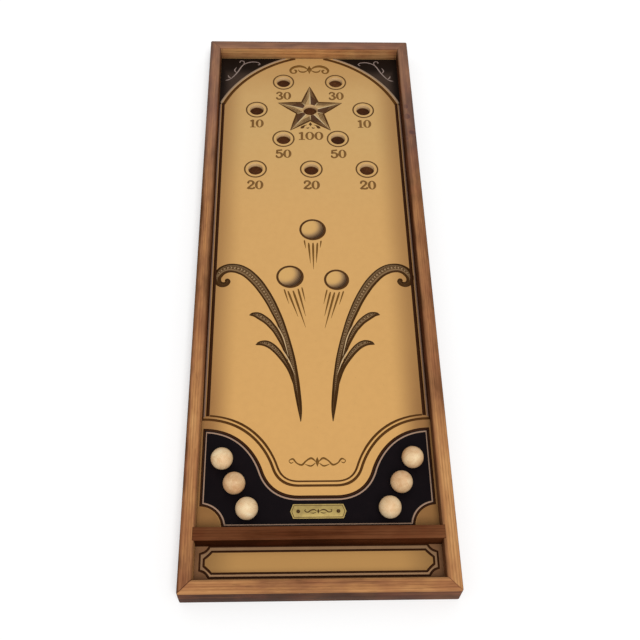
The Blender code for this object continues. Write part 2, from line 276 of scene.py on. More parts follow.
ballFinish = {
    "figure": (14.0, 60.0, 60.0), "fibre": (70.0, 900.0, 900.0), "pores": (210.0, 1300.0, 1300.0),
    "blotch": 46.0, "mottle": (60.0, 110.0, 110.0), "mottleShare": 0.25, "level": 0.72,
    "ringRate": 2400.0, "ringWarp": 5.0, "ringDepth": 0.20, "poreDepth": 0.34,
    "colours": ((0.05, tint(176, 130, 86)), (0.30, tint(198, 154, 108)), (0.55, tint(220, 184, 138)),
                (0.80, tint(236, 210, 166)), (1.00, tint(242, 222, 184))),
    "late": tint(198, 146, 104), "pore": tint(168, 116, 78), "worn": tint(244, 222, 188), "wearShare": 0.2,
    "blush": 70.0, "blushColour": tint(230, 184, 138), "blushShare": 0.40, "knots": (),
    # the colour and heights of the painted shade on each ball's lower part
    "dirt": tint(120, 84, 56), "grime": 0.3, "grimeTop": 20 * mm, "grimeLow": 12 * mm,
    "toneShare": 0.34, "roughness": 0.40, "varnish": 0.06, "gloss": 0.12, "relief": 0.22, "faded": 0.0,
}
railWood = woodMaterial("chestnutRail", railFinish)
barWood = woodMaterial("darkBar", barFinish)
ballWood = woodMaterial("turnedBeech", ballFinish)

boardLow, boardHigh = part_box("playing_board")
barLow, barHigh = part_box("crossbar")
boardTop = boardHigh.z
holes = {}
for opening in frame["record"]["physics"]["openings"]:
    if opening["name"].startswith("hole_"):
        low, high = opening["box_m"]
        holes[opening["name"]] = ((low[0] + high[0]) / 2, (low[1] + high[1]) / 2)
seats = {name: sum(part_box(name), Vector()) / 2 for name in frame["nodes"] if name.startswith("ball_")}
ballRadius = (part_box("ball_left_1")[1].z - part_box("ball_left_1")[0].z) / 2

groundLook = {
    # the last stops, near the back rail, are print with painted shade
    "along": ((0.0, tint(213, 163, 97)), (0.55, tint(207, 161, 99)), (0.80, tint(199, 160, 102)),
              (0.93, tint(195, 156, 100)), (1.0, tint(183, 142, 88))),
    "alongFrom": -0.30, "alongRate": 1.25,
    "edge": tint(144, 100, 57), "edgeFrom": (0.124, 0.173), "edgeLean": 0.015, "edgeShare": 0.70,
    "nearFrom": (-0.10, -0.32), "nearShare": 0.26,
    "mottle": tint(180, 134, 76), "paper": tint(232, 190, 126), "speck": tint(112, 76, 42),
}


# The printed ochre ground, with paper mottling and age specks: darker towards the side lines, print with
# painted shade from the side rails, and darker at the far end, print with painted shade by the back rail
def groundMaterial():
    look = groundLook
    material, wire = newMaterial("printedGround")
    place = objectPlace(wire)
    x, y = place.parts()[:2]
    clouds = place.grains(7.0, 3.0)
    mottle = place.grains(85.0, 4.0, 0.6)
    paper = place.grains(1400.0, 2.0)
    specks = place.grains(420.0, 2.0, 0.6).smooth(0.70, 0.78)
    colour = ((y - look["alongFrom"]) * look["alongRate"] + clouds * 0.10 - 0.05).ramp(*look["along"])
    # painted shade from the side rails on top of the print's darkening, leaning so that the right side
    # darkens sooner
    side = x.size() + x * look["edgeLean"] + clouds * 0.008 - 0.004
    share = look["edgeShare"] + y.smooth(*look["nearFrom"]) * look["nearShare"]
    colour = (side.smooth(*look["edgeFrom"]) * share).mix(colour, look["edge"])
    colour = (mottle.smooth(0.3, 0.75) * 0.12).mix(colour, look["mottle"])
    colour = (paper * 0.10).mix(colour, look["paper"])
    colour = (specks * 0.4).mix(colour, look["speck"])
    closeMaterial(wire, {
        "Base Color": colour,
        "Roughness": 0.44 + paper * 0.16 + mottle * 0.08,
        "Coat Weight": 0.03 + clouds * 0.06,
        "Coat Roughness": 0.35,
        "Specular IOR Level": 0.12,
        "Normal": bumped(wire, paper * 0.5 + mottle, 0.10, 0.2 * mm),
    })
    return material


inkFinish = {
    "patches": 46.0, "patchEdge": (0.42, 0.80), "tooth": 1100.0, "toothShare": 0.16,
    "relief": 0.10, "reliefDepth": 0.15 * mm, "gloss": 0.04, "paperGloss": 0.1,
    # the corners' print colour, then their painted shade near the rails
    "corner": (tint(58, 45, 37), tint(12, 5, 3)), "cornerTooth": tint(84, 68, 56),
    "cornerAlong": (0.495, 0.522), "cornerAcross": (0.158, 0.178),
}


def inkGrain(wire):
    place = objectPlace(wire)
    return place, place.grains(inkFinish["patches"], 4.0, 0.62), place.grains(inkFinish["tooth"], 2.0)


def closePrint(wire, colour, roughness, relief, gloss):
    closeMaterial(wire, {
        "Base Color": colour,
        "Roughness": roughness,
        "Specular IOR Level": gloss,
        "Normal": bumped(wire, relief, inkFinish["relief"], inkFinish["reliefDepth"]),
    })


# Printing inks and washes: a body colour, a thinner patchy colour and fine paper tooth
def inkMaterial(name, body, thin, patch=0.35, roughness=0.42, frontLight=None):
    look = inkFinish
    material, wire = newMaterial(name)
    place, patches, tooth = inkGrain(wire)
    colour = (patches.smooth(*look["patchEdge"]) * patch + tooth * look["toothShare"]).mix(body, thin)
    if frontLight:
        # painted light: another colour towards the player's end, from one y to another
        colour = place.parts()[1].smooth(*frontLight[:2]).mix(colour, frontLight[2])
    roughness = roughness + tooth * look["toothShare"] + patches * 0.06
    closePrint(wire, colour, roughness, tooth + patches * 0.4, look["gloss"])
    return material


# The upper corners: dark brown print, browner towards the arch, with painted shade that makes them near black
# towards the back rail and the side rails
def cornerMaterial():
    look = inkFinish
    material, wire = newMaterial("blackCornerInk")
    place, patches, tooth = inkGrain(wire)
    x, y = place.parts()[:2]
    # painted shade from the back rail and the side rails
    dark = y.math("MAXIMUM", y.smooth(*look["cornerAlong"]), x.size().smooth(*look["cornerAcross"]))
    colour = (dark * 0.9 + patches * 0.2 - 0.1).mix(*look["corner"])
    colour = (tooth * 0.06).mix(colour, look["cornerTooth"])
    closePrint(wire, colour, 0.42 + tooth * look["toothShare"], tooth, look["gloss"])
    return material


# the foot colour is painted shade low on the hole walls
bareLook = {"flecks": (130.0, 130.0, 900.0), "foot": tint(104, 70, 42), "footShare": 0.75}


# Bare timber on an edge or in a hole, in layers parallel to the board
def bareMaterial(name, light, dark, layers, foot=None):
    material, wire = newMaterial(name)
    place = objectPlace(wire)
    z = place.parts()[2]
    flecks = place.stretched(bareLook["flecks"]).grains(1.0, 3.0, 0.6)
    stain = place.grains(60.0, 2.0)
    phase = z * layers + flecks * 1.4
    sheets = phase.math("SINE", phase).smooth(-0.2, 0.9)
    colour = (sheets * 0.45 + flecks * 0.35 + stain * 0.2).mix(light, dark)
    if foot:
        # painted shade deep in a hole: darker from one height down to another
        colour = (z.smooth(*foot) * bareLook["footShare"]).mix(colour, bareLook["foot"])
    closeMaterial(wire, {
        "Base Color": colour,
        "Roughness": 0.62 + flecks * 0.2,
        "Specular IOR Level": 0.1,
        "Normal": bumped(wire, flecks + sheets * 0.3, 0.3, 0.2 * mm),
    })
    return material


hardboardLook = {
    "pulp": 240.0, "fibres": (900.0, 260.0, 900.0), "clouds": 12.0,
    "colours": ((0.25, tint(40, 18, 5)), (0.55, tint(70, 38, 15)), (0.85, tint(112, 74, 40))),
}


def hardboardMaterial():
    look = hardboardLook
    material, wire = newMaterial("brownHardboard")
    place = objectPlace(wire)
    pulp = place.grains(look["pulp"], 5.0, 0.7)
    fibres = place.stretched(look["fibres"]).grains(1.0, 3.0, 0.6, 0.6)
    clouds = place.grains(look["clouds"], 3.0)
    colour = (pulp * 0.5 + fibres * 0.35 + clouds * 0.9 - 0.4).ramp(*look["colours"])
    closeMaterial(wire, {
        "Base Color": colour,
        "Roughness": 0.62 + fibres * 0.2,
        "Specular IOR Level": 0.1,
        "Normal": bumped(wire, pulp + fibres, 0.25, 0.25 * mm),
    })
    return material


# Brushed metal; lines is the brushing's rate along x, y and z
def metalMaterial(name, bright, dull, roughness, lines):
    material, wire = newMaterial(name)
    place = objectPlace(wire)
    brushed = place.stretched(lines).grains(1.0, 3.0, 0.6)
    smudge = place.grains(90.0, 3.0, 0.6)
    scratch = place.stretched((lines[1] * 0.4, lines[0] * 3.0, 400.0)).grains(1.0, 1.0).smooth(0.66, 0.70)
    colour = (smudge.smooth(0.35, 0.75) * 0.6 + brushed * 0.25).mix(bright, dull)
    closeMaterial(wire, {
        "Base Color": colour,
        "Metallic": 1.0 - smudge.smooth(0.5, 0.85) * 0.25,
        "Roughness": roughness + brushed * 0.16 + smudge * 0.14 - scratch * 0.08,
        "Normal": bumped(wire, brushed + scratch * 0.6, 0.14, 0.1 * mm),
    })
    return material


ground = groundMaterial()
blackInk = inkMaterial("blackPanelInk", tint(13, 8, 11), tint(24, 16, 18), 0.4, 0.40)
cornerBlack = cornerMaterial()
lineInk = inkMaterial("darkLineInk", tint(50, 25, 9), tint(70, 41, 20))
curveInk = inkMaterial("brownLineInk", tint(80, 48, 17), tint(102, 68, 32))
brownInk = inkMaterial("brownInk", tint(76, 48, 22), tint(100, 68, 36))
scoreInk = inkMaterial("scoreInk", tint(120, 85, 45), tint(142, 104, 60))
ringInk = inkMaterial("ringInk", tint(94, 66, 36), tint(120, 88, 52))
strokeInk = inkMaterial("motionStrokeInk", tint(114, 78, 34), tint(138, 99, 50))
stemEdge = inkMaterial("stemEdgeInk", tint(62, 38, 14), tint(86, 58, 28))
panelLine = inkMaterial("panelLineInk", tint(170, 140, 118), tint(150, 120, 98))
engraved = inkMaterial("engravedMark", tint(80, 58, 32), tint(112, 86, 50))
paleInk = inkMaterial("paleLineInk", tint(130, 102, 86), tint(150, 122, 102))
archInk = inkMaterial("paleArchInk", tint(162, 136, 110), tint(142, 115, 92))
greyInk = inkMaterial("greyScrollInk", tint(146, 128, 120), tint(118, 100, 92))
stemInk = inkMaterial("stemInk", tint(132, 104, 72), tint(106, 81, 54))
shineInk = inkMaterial("highlightInk", tint(206, 176, 134), tint(190, 156, 112))
fleckInk = inkMaterial("stemFleckInk", tint(182, 152, 114), tint(156, 126, 90))
cornerWash = inkMaterial("cornerWash", tint(150, 108, 64), tint(130, 92, 52))
# the hole walls carry painted shade towards their foot
bareWall = bareMaterial(
    "bareHoleWall", tint(240, 204, 152), tint(216, 176, 124), 1400.0, (8.2 * mm, 5.4 * mm))
plyEdge = bareMaterial("plywoodTongue", tint(208, 176, 128), tint(150, 108, 66), 6000.0)
hardboard = hardboardMaterial()
brass = metalMaterial("paleBrass", tint(174, 152, 93), tint(142, 120, 73), 0.34, (30.0, 1400.0, 1400.0))
pinBrass = metalMaterial("darkPin", tint(92, 70, 40), tint(56, 40, 24), 0.38, (300.0, 300.0, 300.0))
steel = metalMaterial("plainSteel", tint(176, 176, 180), tint(128, 126, 128), 0.34, (300.0, 300.0, 300.0))
print("materials:", len(bpy.data.materials))


def addPiece(name, mesh, *materials):
    piece = bpy.data.objects.new(name, mesh)
    bpy.context.scene.collection.objects.link(piece)
    for material in materials:
        mesh.materials.append(material)
    return piece


def finishMesh(shape, name, crease):
    bmesh.ops.remove_doubles(shape, verts=shape.verts, dist=mergeReach)
    bmesh.ops.recalc_face_normals(shape, faces=shape.faces)
    mesh = bpy.data.meshes.new(name)
    shape.to_mesh(mesh)
    shape.free()
    mesh.shade_smooth()
    mesh.set_sharp_from_angle(angle=math.radians(crease))
    return mesh


def standFor(piece, body, slot, *nodes):
    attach(piece, body)
    if nodes:
        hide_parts(*nodes)


def bend(centre, radius, start, end, steps):
    # points of an arc, angles in degrees
    turns = [math.radians(start + (end - start) * i / steps) for i in range(steps + 1)]
    return [(centre[0] + radius * math.cos(t), centre[1] + radius * math.sin(t)) for t in turns]


def arc(centre, radius, start, end, step):
    # the same with steps of about so many degrees
    return bend(centre, radius, start, end, max(2, round(abs(end - start) / step)))


def valueAt(stops, place):
    # a value that eases from stop to stop, such as a tone along a rail
    for (start, low), (end, high) in zip(stops, stops[1:]):
        if place <= end:
            t = max(0.0, (place - start) / (end - start))
            return low + (high - low) * t * t * (3 - 2 * t)
    return stops[-1][1]


def steady(value):
    return ((0.0, value),)


# shared by the rails and the crossbar
barWork = {"waveRate": 22.0, "waveShift": 0.31, "waveDrop": 0.7, "grainShift": 3.1, "crease": 34}


# A wooden bar swept along its length. Each section point is (inset, height, wear, stain), the stain being
# painted light and shade of its faces, and the places along it are met by every point, apart from the ends,
# which endAt gives for an inset.
def sweptBar(name, section, places, endAt, toWorld, look, notch=None):
    shape = bmesh.new()
    grainLayer = shape.verts.layers.float_vector.new("grain")
    wearLayer = shape.verts.layers.float.new("wear")
    toneLayer = shape.verts.layers.float.new("tone")
    rate, shift, seed = barWork["waveRate"], barWork["waveShift"], look["seed"]
    grainStart = seed * barWork["grainShift"]
    rings = []
    for number, place in enumerate(places):
        loop = []
        fromEnd = abs(places[0]) - abs(place)
        atEnd = fromEnd < look["ends"]
        cutAway = notch and notch["from"] < number < notch["to"]
        waving = 0.0 if atEnd or notch and notch["calm"](place) else look["handWave"]
        for index, (inset, height, wear, stain) in enumerate(section):
            along = math.copysign(endAt(inset) - fromEnd, place) if atEnd else place
            depth = min(inset, notch["inset"]) if cutAway else inset
            wave = noise.noise(Vector((place * rate, index * shift, seed)))
            drop = abs(wave * wear * waving) * barWork["waveDrop"]
            vert = shape.verts.new(toWorld(along, depth, height - drop))
            vert[grainLayer] = Vector((along + grainStart, inset + seed, height))
            vert[wearLayer] = wear
            # the section's stain, painted light and shade of the faces, is added to the tone along the piece
            vert[toneLayer] = valueAt(look["tones"], place) + valueAt(stain, place)
            loop.append(vert)
        rings.append(loop)
    count = len(section)
    for first, second in zip(rings, rings[1:]):
        for i in range(count):
            shape.faces.new((first[i], first[(i + 1) % count], second[(i + 1) % count], second[i]))
    shape.faces.new(rings[0])
    shape.faces.new(rings[-1])
    return finishMesh(shape, name, barWork["crease"])


railLook = {
    "innerRound": 4.5 * mm, "outerRound": 2.5 * mm, "footRound": 1.0 * mm, "fit": 0.3 * mm,
    "station": 12.0 * mm, "handWave": 0.45 * mm, "housingDepth": 3.0 * mm, "endKeep": 24.0 * mm,
    "seeds": {"left": 0.37, "right": 1.91, "front": 2.63, "back": 4.18},
    "cornerRound": 3.0 * mm, "endRings": (0.8 * mm, 1.6 * mm, 2.4 * mm, 3.2 * mm), "ends": 4.0 * mm,
    "housingClear": 4 * mm, "housingCalm": 16 * mm, "wallStep": 8 * mm,
    "edgeWear": 0.5, "topWear": 0.15, "bendWear": 0.6,
    # painted light and shade of each rail's faces, as tone: outer faces darker, most on the front rail; inner
    # walls darker on the sides, lighter on the back rail and on the left rail by the tray; inner rounds
    # darker on the sides, lighter on the front rail; outer edges darker on the left, lighter on the front
    "outerStains": {"left": ((0, -0.4),), "right": ((0, -0.4),), "back": ((0, -0.4),),
                    "front": ((-0.2, -2.4), (-0.1, -2.2), (0.0, -1.2), (0.1, -1.5), (0.2, -1.5))},
    "innerStains": {"left": ((-0.57, 1.2), (-0.5, 0.6), (-0.3, -0.1), (-0.1, -0.7), (0.57, -0.8)),
                    "right": ((0, -1.3),), "front": ((0, -0.4),), "back": ((0, 1.6),)},
    "bendStains": {"left": -0.6, "right": -0.8, "front": 0.9, "back": -0.1},
    "edgeStains": {"left": -2.6, "right": -0.6, "front": 0.2, "back": -0.6},
    "tones": {"left": ((-0.573, -1.2), (-0.572, 1.1), (-0.44, 1.5), (-0.30, 1.4), (-0.17, 0.3), (-0.10, -0.1),
                       (0.10, 0.4), (0.30, 0.15), (0.42, 0.25), (0.58, 0.2)),
              "right": ((-0.573, 0.3), (-0.572, 1.2), (-0.38, 1.45), (-0.24, 0.35), (-0.05, 0.4), (0.09, 0.7),
                        (0.17, -0.1), (0.36, -0.1), (0.46, 0.15), (0.58, 0.0)),
              "front": ((-0.203, -0.6), (-0.202, 1.4), (-0.16, 1.35), (-0.13, 1.1), (-0.085, 0.8),
                        (-0.045, 1.0), (0.0, 0.7), (0.035, 0.6), (0.08, 1.0), (0.12, 1.0), (0.16, 1.2),
                        (0.202, 1.2), (0.203, 0.0)),
              # the back rail's tone drops near both ends, most at the right: painted shade from the side
              # rails
              "back": ((-0.21, -0.2), (-0.178, -0.2), (-0.165, 0.2), (-0.10, 0.35), (0.0, 0.05), (0.12, 0.0),
                       (0.155, 0.2), (0.178, -0.7), (0.21, -0.3))},
}


# Once round a rail, from its foot up the outer face, over the top and down to the rebate. The outer edge's
# painted shading fades towards the top, and the inner round's painted shading deepens downwards.
def railSection(side, width, height, ledge, rebate):
    look = railLook
    inner, outer, foot = look["innerRound"], look["outerRound"], look["footRound"]
    outerShading, innerShading = look["outerStains"][side], look["innerStains"][side]
    bendShading, edgeShading = look["bendStains"][side], look["edgeStains"][side]
    section = [(u, z, 0.0, outerShading) for u, z in bend((foot, foot), foot, 270, 180, 4)]
    section += [(0.0, height * 0.5, 0.0, outerShading), (0.0, height - outer * 1.6, 0.0, outerShading)]
    outerBend = bend((outer, height - outer), outer, 180, 90, 6)[1:]
    section += [(u, z, look["edgeWear"], steady(edgeShading * (10 - i) / 10))
                for i, (u, z) in enumerate(outerBend)]
    section += [(width * share, height, look["topWear"], steady(share / 6)) for share in (0.3, 0.6)]
    innerBend = bend((width - inner, height - inner), inner, 90, 0, 9)[:-2]
    section += [(u, z, look["bendWear"], steady(bendShading * (i + 2) / 8))
                for i, (u, z) in enumerate(innerBend)]
    section += [(width, z, 0.0, innerShading) for z in (height - inner, ledge + look["wallStep"], ledge)]
    section += [(rebate, ledge, 0.0, innerShading), (rebate, 0.0, 0.0, innerShading)]
    return section


def makeRails():
    low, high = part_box("left_rail")
    height, width = high.z, high.x - low.x
    halfWide, halfLong = cadBox[1][0], cadBox[1][1]
    fit, calm, clear = railLook["fit"], railLook["housingCalm"], railLook["housingClear"]
    ledge = boardTop + fit
    rebate = halfWide - boardHigh.x - fit
    # half a rail's length, and the point for a place along it, an inset and a height
    shapes = {
        "left": (halfLong, lambda s, u, z: (u - halfWide, s, z)),
        "right": (halfLong, lambda s, u, z: (halfWide - u, s, z)),
        "front": (halfWide, lambda s, u, z: (s, u - halfLong, z)),
        "back": (halfWide, lambda s, u, z: (s, halfLong - u, z)),
    }
    corner = railLook["cornerRound"]

    def rounded(point):
        # the frame's outer corners, rounded in plan
        x, y, z = point
        dx, dy = abs(x) - halfWide + corner, abs(y) - halfLong + corner
        if min(dx, dy) <= 0:
            return point
        pull = 1 - max(dx, dy) / math.hypot(dx, dy)
        return x - math.copysign(dx * pull, x), y - math.copysign(dy * pull, y), z

    for side, (outerHalf, toWorld) in shapes.items():
        section = railSection(side, width, height, ledge, rebate)
        reach = outerHalf - railLook["endKeep"]
        count = round(2 * reach / railLook["station"])
        inner = [reach * (2 * i / count - 1) for i in range(count + 1)]
        notch = None
        if side in ("left", "right"):
            # the bar's housing: a step in at its start and a step out at its stop
            start, stop = barLow.y - fit, barHigh.y + fit
            inner = [s for s in inner if not start - clear < s < stop + clear]
            first = sum(1 for s in inner if s < start) + 1
            inner = sorted(inner + [start, start, stop, stop])
            notch = {"from": first, "to": first + 3, "inset": width - railLook["housingDepth"],
                     "calm": lambda s, a=start, b=stop: a - calm < s < b + calm}
        close = [outerHalf - d for d in railLook["endRings"]]
        places = [-outerHalf] + [-s for s in close] + inner + close[::-1] + [outerHalf]
        if notch:
            notch["from"] += len(close)
            notch["to"] += len(close)
        look = {"seed": railLook["seeds"][side], "handWave": railLook["handWave"], "ends": railLook["ends"],
                "tones": railLook["tones"][side]}
        mesh = sweptBar(side + "RailWood", section, places,
                        lambda inset, half=outerHalf: half - inset - fit / math.sqrt(2),
                        lambda s, u, z, at=toWorld: rounded(at(s, u, z)), look, notch)
        piece = addPiece(side + "RailWood", mesh, railWood)
        standFor(piece, "table", "rail_wood", side + "_rail")


makeRails()
print("rails done")

barLook = {"edgeRound": 1.5 * mm, "station": 10.0 * mm, "handWave": 0.3 * mm, "seed": 5.4, "ends": 1 * mm,
           "edgeWear": 1.0, "topWear": 0.1,
           # painted shade on the bar's upright faces and underside, as tone, darkest towards the left end
           "faceStain": ((-0.19, -2.0), (-0.08, -1.9), (0.0, -1.4), (0.19, -1.4)),
           "tones": ((-0.19, 0.8), (-0.12, 0.9), (0.0, 0.35), (0.11, 1.05), (0.19, 1.1))}


def makeBar():
    half = (barHigh.y - barLow.y) / 2
    middle = (barHigh.y + barLow.y) / 2
    edge, top, bottom = barLook["edgeRound"], barHigh.z, barLow.z
    faceStain, plain, wear = barLook["faceStain"], steady(0.0), barLook["edgeWear"]
    section = [(half, bottom, 0.0, faceStain), (-half, bottom, 0.0, faceStain)]
    section += [(-half, z, 0.0, faceStain) for z in ((top + bottom) / 2, top - 2 * edge)]
    section += [(v, z, wear, plain) for v, z in bend((edge - half, top - edge), edge, 180, 90, 6)[1:]]
    section += [(0.0, top, barLook["topWear"], plain)]
    section += [(v, z, wear, plain) for v, z in bend((half - edge, top - edge), edge, 90, 0, 6)[:-1]]
    section += [(half, z, 0.0, faceStain) for z in (top - 2 * edge, (top + bottom) / 2)]
    reach = barHigh.x
    count = round(2 * reach / barLook["station"])
    places = [reach * (2 * i / count - 1) for i in range(count + 1)]
    mesh = sweptBar("crossbarWood", section, places, lambda v: reach,
                    lambda s, v, z: (s, middle + v, z), barLook)
    standFor(addPiece("crossbarWood", mesh, barWood), "table", "bar_wood", "crossbar")


makeBar()
print("crossbar done")


def turned(profile, sides, centre=(0.0, 0.0, 0.0)):
    # a closed body turned about a vertical axis from (radius, height) points, bottom to top
    shape = bmesh.new()
    rings = []
    for radius, height in profile:
        if radius < tiny:
            rings.append([shape.verts.new((centre[0], centre[1], centre[2] + height))])
            continue
        turns = [2 * math.pi * i / sides for i in range(sides)]
        rings.append([shape.verts.new((centre[0] + radius * math.cos(t), centre[1] + radius * math.sin(t),
                                       centre[2] + height)) for t in turns])
    for low, high in zip(rings, rings[1:]):
        for i in range(sides):
            j = (i + 1) % sides
            corners = [low[i % len(low)], low[j % len(low)], high[j % len(high)], high[i % len(high)]]
            kept = list(dict.fromkeys(corners))
            if len(kept) > 2:
                shape.faces.new(kept)
    bmesh.ops.recalc_face_normals(shape, faces=shape.faces)
    return shape


boardLook = {
    "holeRadius": 14.0 * mm, "rim": 0.7 * mm, "holeSides": 72, "wallShare": 0.4,
    "seatGap": 0.3 * mm, "seatSides": 64, "seatRings": 40, "seatShare": 0.6,
    "cutPast": 2 * mm, "topSlack": 0.01 * mm, "level": 0.999, "crease": 34,
}
seatRadius = ballRadius + boardLook["seatGap"]


def pieceFrom(shape, name, *materials):
    mesh = bpy.data.meshes.new(name)
    shape.to_mesh(mesh)
    shape.free()
    return addPiece(name, mesh, *materials)


def makeBoard():
    look = boardLook
    shape = bmesh.new()
    bmesh.ops.create_cube(shape, size=1.0)
    size = boardHigh - boardLow
    middle = (boardHigh + boardLow) / 2
    bmesh.ops.transform(shape, matrix=Matrix.Translation(middle) @ Matrix.Diagonal((*size, 1.0)),
                        verts=shape.verts)
    board = pieceFrom(shape, "printedBoard", ground, bareWall, blackInk)
    radius, rim = look["holeRadius"], look["rim"]
    bottom, past = boardLow.z - look["cutPast"], boardTop + look["cutPast"]
    flare = bend((radius + rim, boardTop - rim), rim, 180, 90, 4)
    profile = [(0.0, bottom), (radius, bottom)] + flare + [(radius + rim, past), (0.0, past)]
    cutters = []
    for name, (x, y) in holes.items():
        cutters.append(pieceFrom(turned(profile, look["holeSides"], (x, y, 0.0)), name + "Cutter"))
    dome = [(seatRadius * math.sin(t), -seatRadius * math.cos(t))
            for t in (math.pi * i / look["seatRings"] for i in range(look["seatRings"] + 1))]
    for name, centre in seats.items():
        cutters.append(pieceFrom(turned(dome, look["seatSides"], centre), name + "Cutter"))
    for cutter in cutters:
        cutting = board.modifiers.new(cutter.name, "BOOLEAN")
        cutting.operation = "DIFFERENCE"
        cutting.object = cutter
    graph = bpy.context.evaluated_depsgraph_get()
    made = bpy.data.meshes.new_from_object(board.evaluated_get(graph))
    board.modifiers.clear()
    board.data = made
    for cutter in cutters:
        bpy.data.objects.remove(cutter)
    wallReach, seatReach = radius + look["wallShare"] * rim, look["seatShare"] * radius
    for face in made.polygons:
        spot = face.center.xy
        inHole = any((spot - Vector(place)).length < wallReach for place in holes.values())
        inSeat = any((spot - place.xy).length < seatReach for place in seats.values())
        top = face.center.z > boardTop - look["topSlack"]
        face.material_index = 1 if inHole else 2 if inSeat and not top else 0
    made.shade_smooth()
    made.set_sharp_from_angle(angle=math.radians(look["crease"]))
    for face in made.polygons:
        face.use_smooth = abs(face.normal.z) < look["level"]
    standFor(board, "table", "printed_board", "playing_board")


makeBoard()
print("board done:", len(holes), "holes")

ballLook = {
    "sides": 64, "rings": 40, "flat": 0.05 * mm, "ridge": 0.02 * mm, "ridgeRate": 0.9, "ridgeSeed": 90,
    "grainAlong": 7.0, "grainAcross": 5.0, "wear": 0.5, "crease": 40,
    "turns": {"ball_left_1": (0.4, 0.9, 0.2), "ball_left_2": (1.5, 0.3, 1.1),
              "ball_left_3": (0.9, 2.0, 0.5), "ball_right_1": (2.4, 0.6, 1.9),
              "ball_right_2": (0.2, 1.3, 2.6), "ball_right_3": (1.1, 2.5, 0.8)},
    "tones": {"ball_left_1": 1.15, "ball_left_2": 0.25, "ball_left_3": 1.15,
              "ball_right_1": 1.05, "ball_right_2": 0.30, "ball_right_3": 0.50},
}


# A lathe-turned ball: faint turning ridges and a small flat where it was parted off
def makeBall(node, centre):
    look = ballLook
    count = look["rings"]
    limit = ballRadius - look["flat"]
    profile = []
    for i in range(count + 1):
        turn = math.pi * i / count
        wave = noise.noise(Vector((i * look["ridgeRate"], centre.x * look["ridgeSeed"], 0.0)))
        size = ballRadius - look["ridge"] * (0.5 + 0.5 * wave)
        profile.append((size * math.sin(turn) if 0 < i < count else 0.0,
                        max(-limit, min(limit, -size * math.cos(turn)))))
    shape = turned(profile, look["sides"])
    grainLayer = shape.verts.layers.float_vector.new("grain")
    toneLayer = shape.verts.layers.float.new("tone")
    wearLayer = shape.verts.layers.float.new("wear")
    turn = Euler(look["turns"][node]).to_matrix()
    grainPlace = Vector((centre.y * look["grainAlong"], centre.x * look["grainAcross"], 0.0))
    for vert in shape.verts:
        vert[grainLayer] = vert.co + grainPlace
        vert[toneLayer] = look["tones"][node]
        vert[wearLayer] = look["wear"]
        vert.co = centre + turn @ vert.co
    mesh = finishMesh(shape, node + "Turned", look["crease"])
    side, number = node.split("_")[1:]
    body = side + "_ball_" + number
    standFor(addPiece(node + "Turned", mesh, ballWood), body, "ball_wood", node)


for node, centre in seats.items():
    makeBall(node, centre)
print("balls done:", len(seats))

plateLook = {
    "point": 4.3 * mm, "bevel": 0.25 * mm, "margin": 1.5 * mm, "groove": 0.5 * mm, "depth": 0.18 * mm,
    "crease": 20, "flourishBold": 1.5, "rosette": (2.2, 1.6),
    "flourish": ([(2, 0, 0.4), (6, 2.4, 1.2), (11, 1.8, 1.3), (15, -1.2, 1.2), (19, -0.8, 1.0),
                  (20.5, 1.6, 0.9), (18.6, 2.6, 0.6)],
                 [(3, -1.2, 0.3), (7, -3.0, 1.0), (12, -2.4, 0.3)]),
    "flourishMiddle": [(0, 3.8, 0.2), (0, 0, 2.2), (0, -3.8, 0.2)],
}
pinLook = {
    "shank": 0.44, "point": 0.9, "pointRise": 1.5 * mm, "seat": 0.02 * mm, "lip": 0.05 * mm,
    "domeSteps": 8, "sides": 32, "crease": 30,
}


def makePlate():
    look = plateLook
    low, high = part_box("brass_plate")
    middle = (low.y + high.y) / 2
    inner = high.x - look["point"]
    outline = [(inner, low.y), (high.x, middle), (inner, high.y), (-inner, high.y), (low.x, middle),
               (-inner, low.y)]
    shape = bmesh.new()
    base = shape.faces.new([shape.verts.new((x, y, low.z)) for x, y in outline])
    lifted = bmesh.ops.extrude_face_region(shape, geom=[base])["geom"]
    bmesh.ops.translate(shape, vec=(0, 0, high.z - low.z),
                        verts=[g for g in lifted if isinstance(g, bmesh.types.BMVert)])
    bmesh.ops.recalc_face_normals(shape, faces=shape.faces)
    rim = [e for e in shape.edges if all(abs(v.co.z - high.z) < tiny for v in e.verts)]
    bmesh.ops.bevel(shape, geom=rim, offset=look["bevel"], segments=3, affect="EDGES", profile=0.5)
    shape.faces.ensure_lookup_table()
    field = max((f for f in shape.faces if f.normal.z > 0.9), key=lambda f: f.calc_area())
    groove, deep = look["groove"], look["depth"]
    for thickness, depth in ((look["margin"], 0.0), (groove, -deep), (groove, deep)):
        made = bmesh.ops.inset_region(
            shape, faces=[field], thickness=thickness, depth=depth, use_even_offset=True)
        for face in made["faces"]:
            face.material_index = 1 if depth else 0
    mesh = finishMesh(shape, "brassPlate", look["crease"])
    standFor(addPiece("engravedPlate", mesh, brass, engraved), "table", "brass", "brass_plate")


def makePins():
    look = pinLook
    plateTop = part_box("brass_plate")[1].z
    lip, steps = look["lip"], look["domeSteps"]
    for side in ("left", "right"):
        low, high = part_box("plate_pin_" + side)
        middle = (low + high) / 2
        radius = (high.x - low.x) / 2
        rise = high.z - plateTop
        dome = [(radius * math.cos(t), plateTop + lip + (rise - lip) * math.sin(t))
                for t in (math.pi / 2 * i / steps for i in range(steps))]
        shank = radius * look["shank"]
        profile = [(0.0, low.z), (shank * look["point"], low.z + look["pointRise"]), (shank, plateTop),
                   (radius, plateTop + look["seat"])]
        shape = turned(profile + dome + [(0.0, high.z)], look["sides"], (middle.x, middle.y, 0.0))
        mesh = finishMesh(shape, side + "PinDome", look["crease"])
        standFor(addPiece(side + "PinDome", mesh, pinBrass), "table", "brass", "plate_pin_" + side)


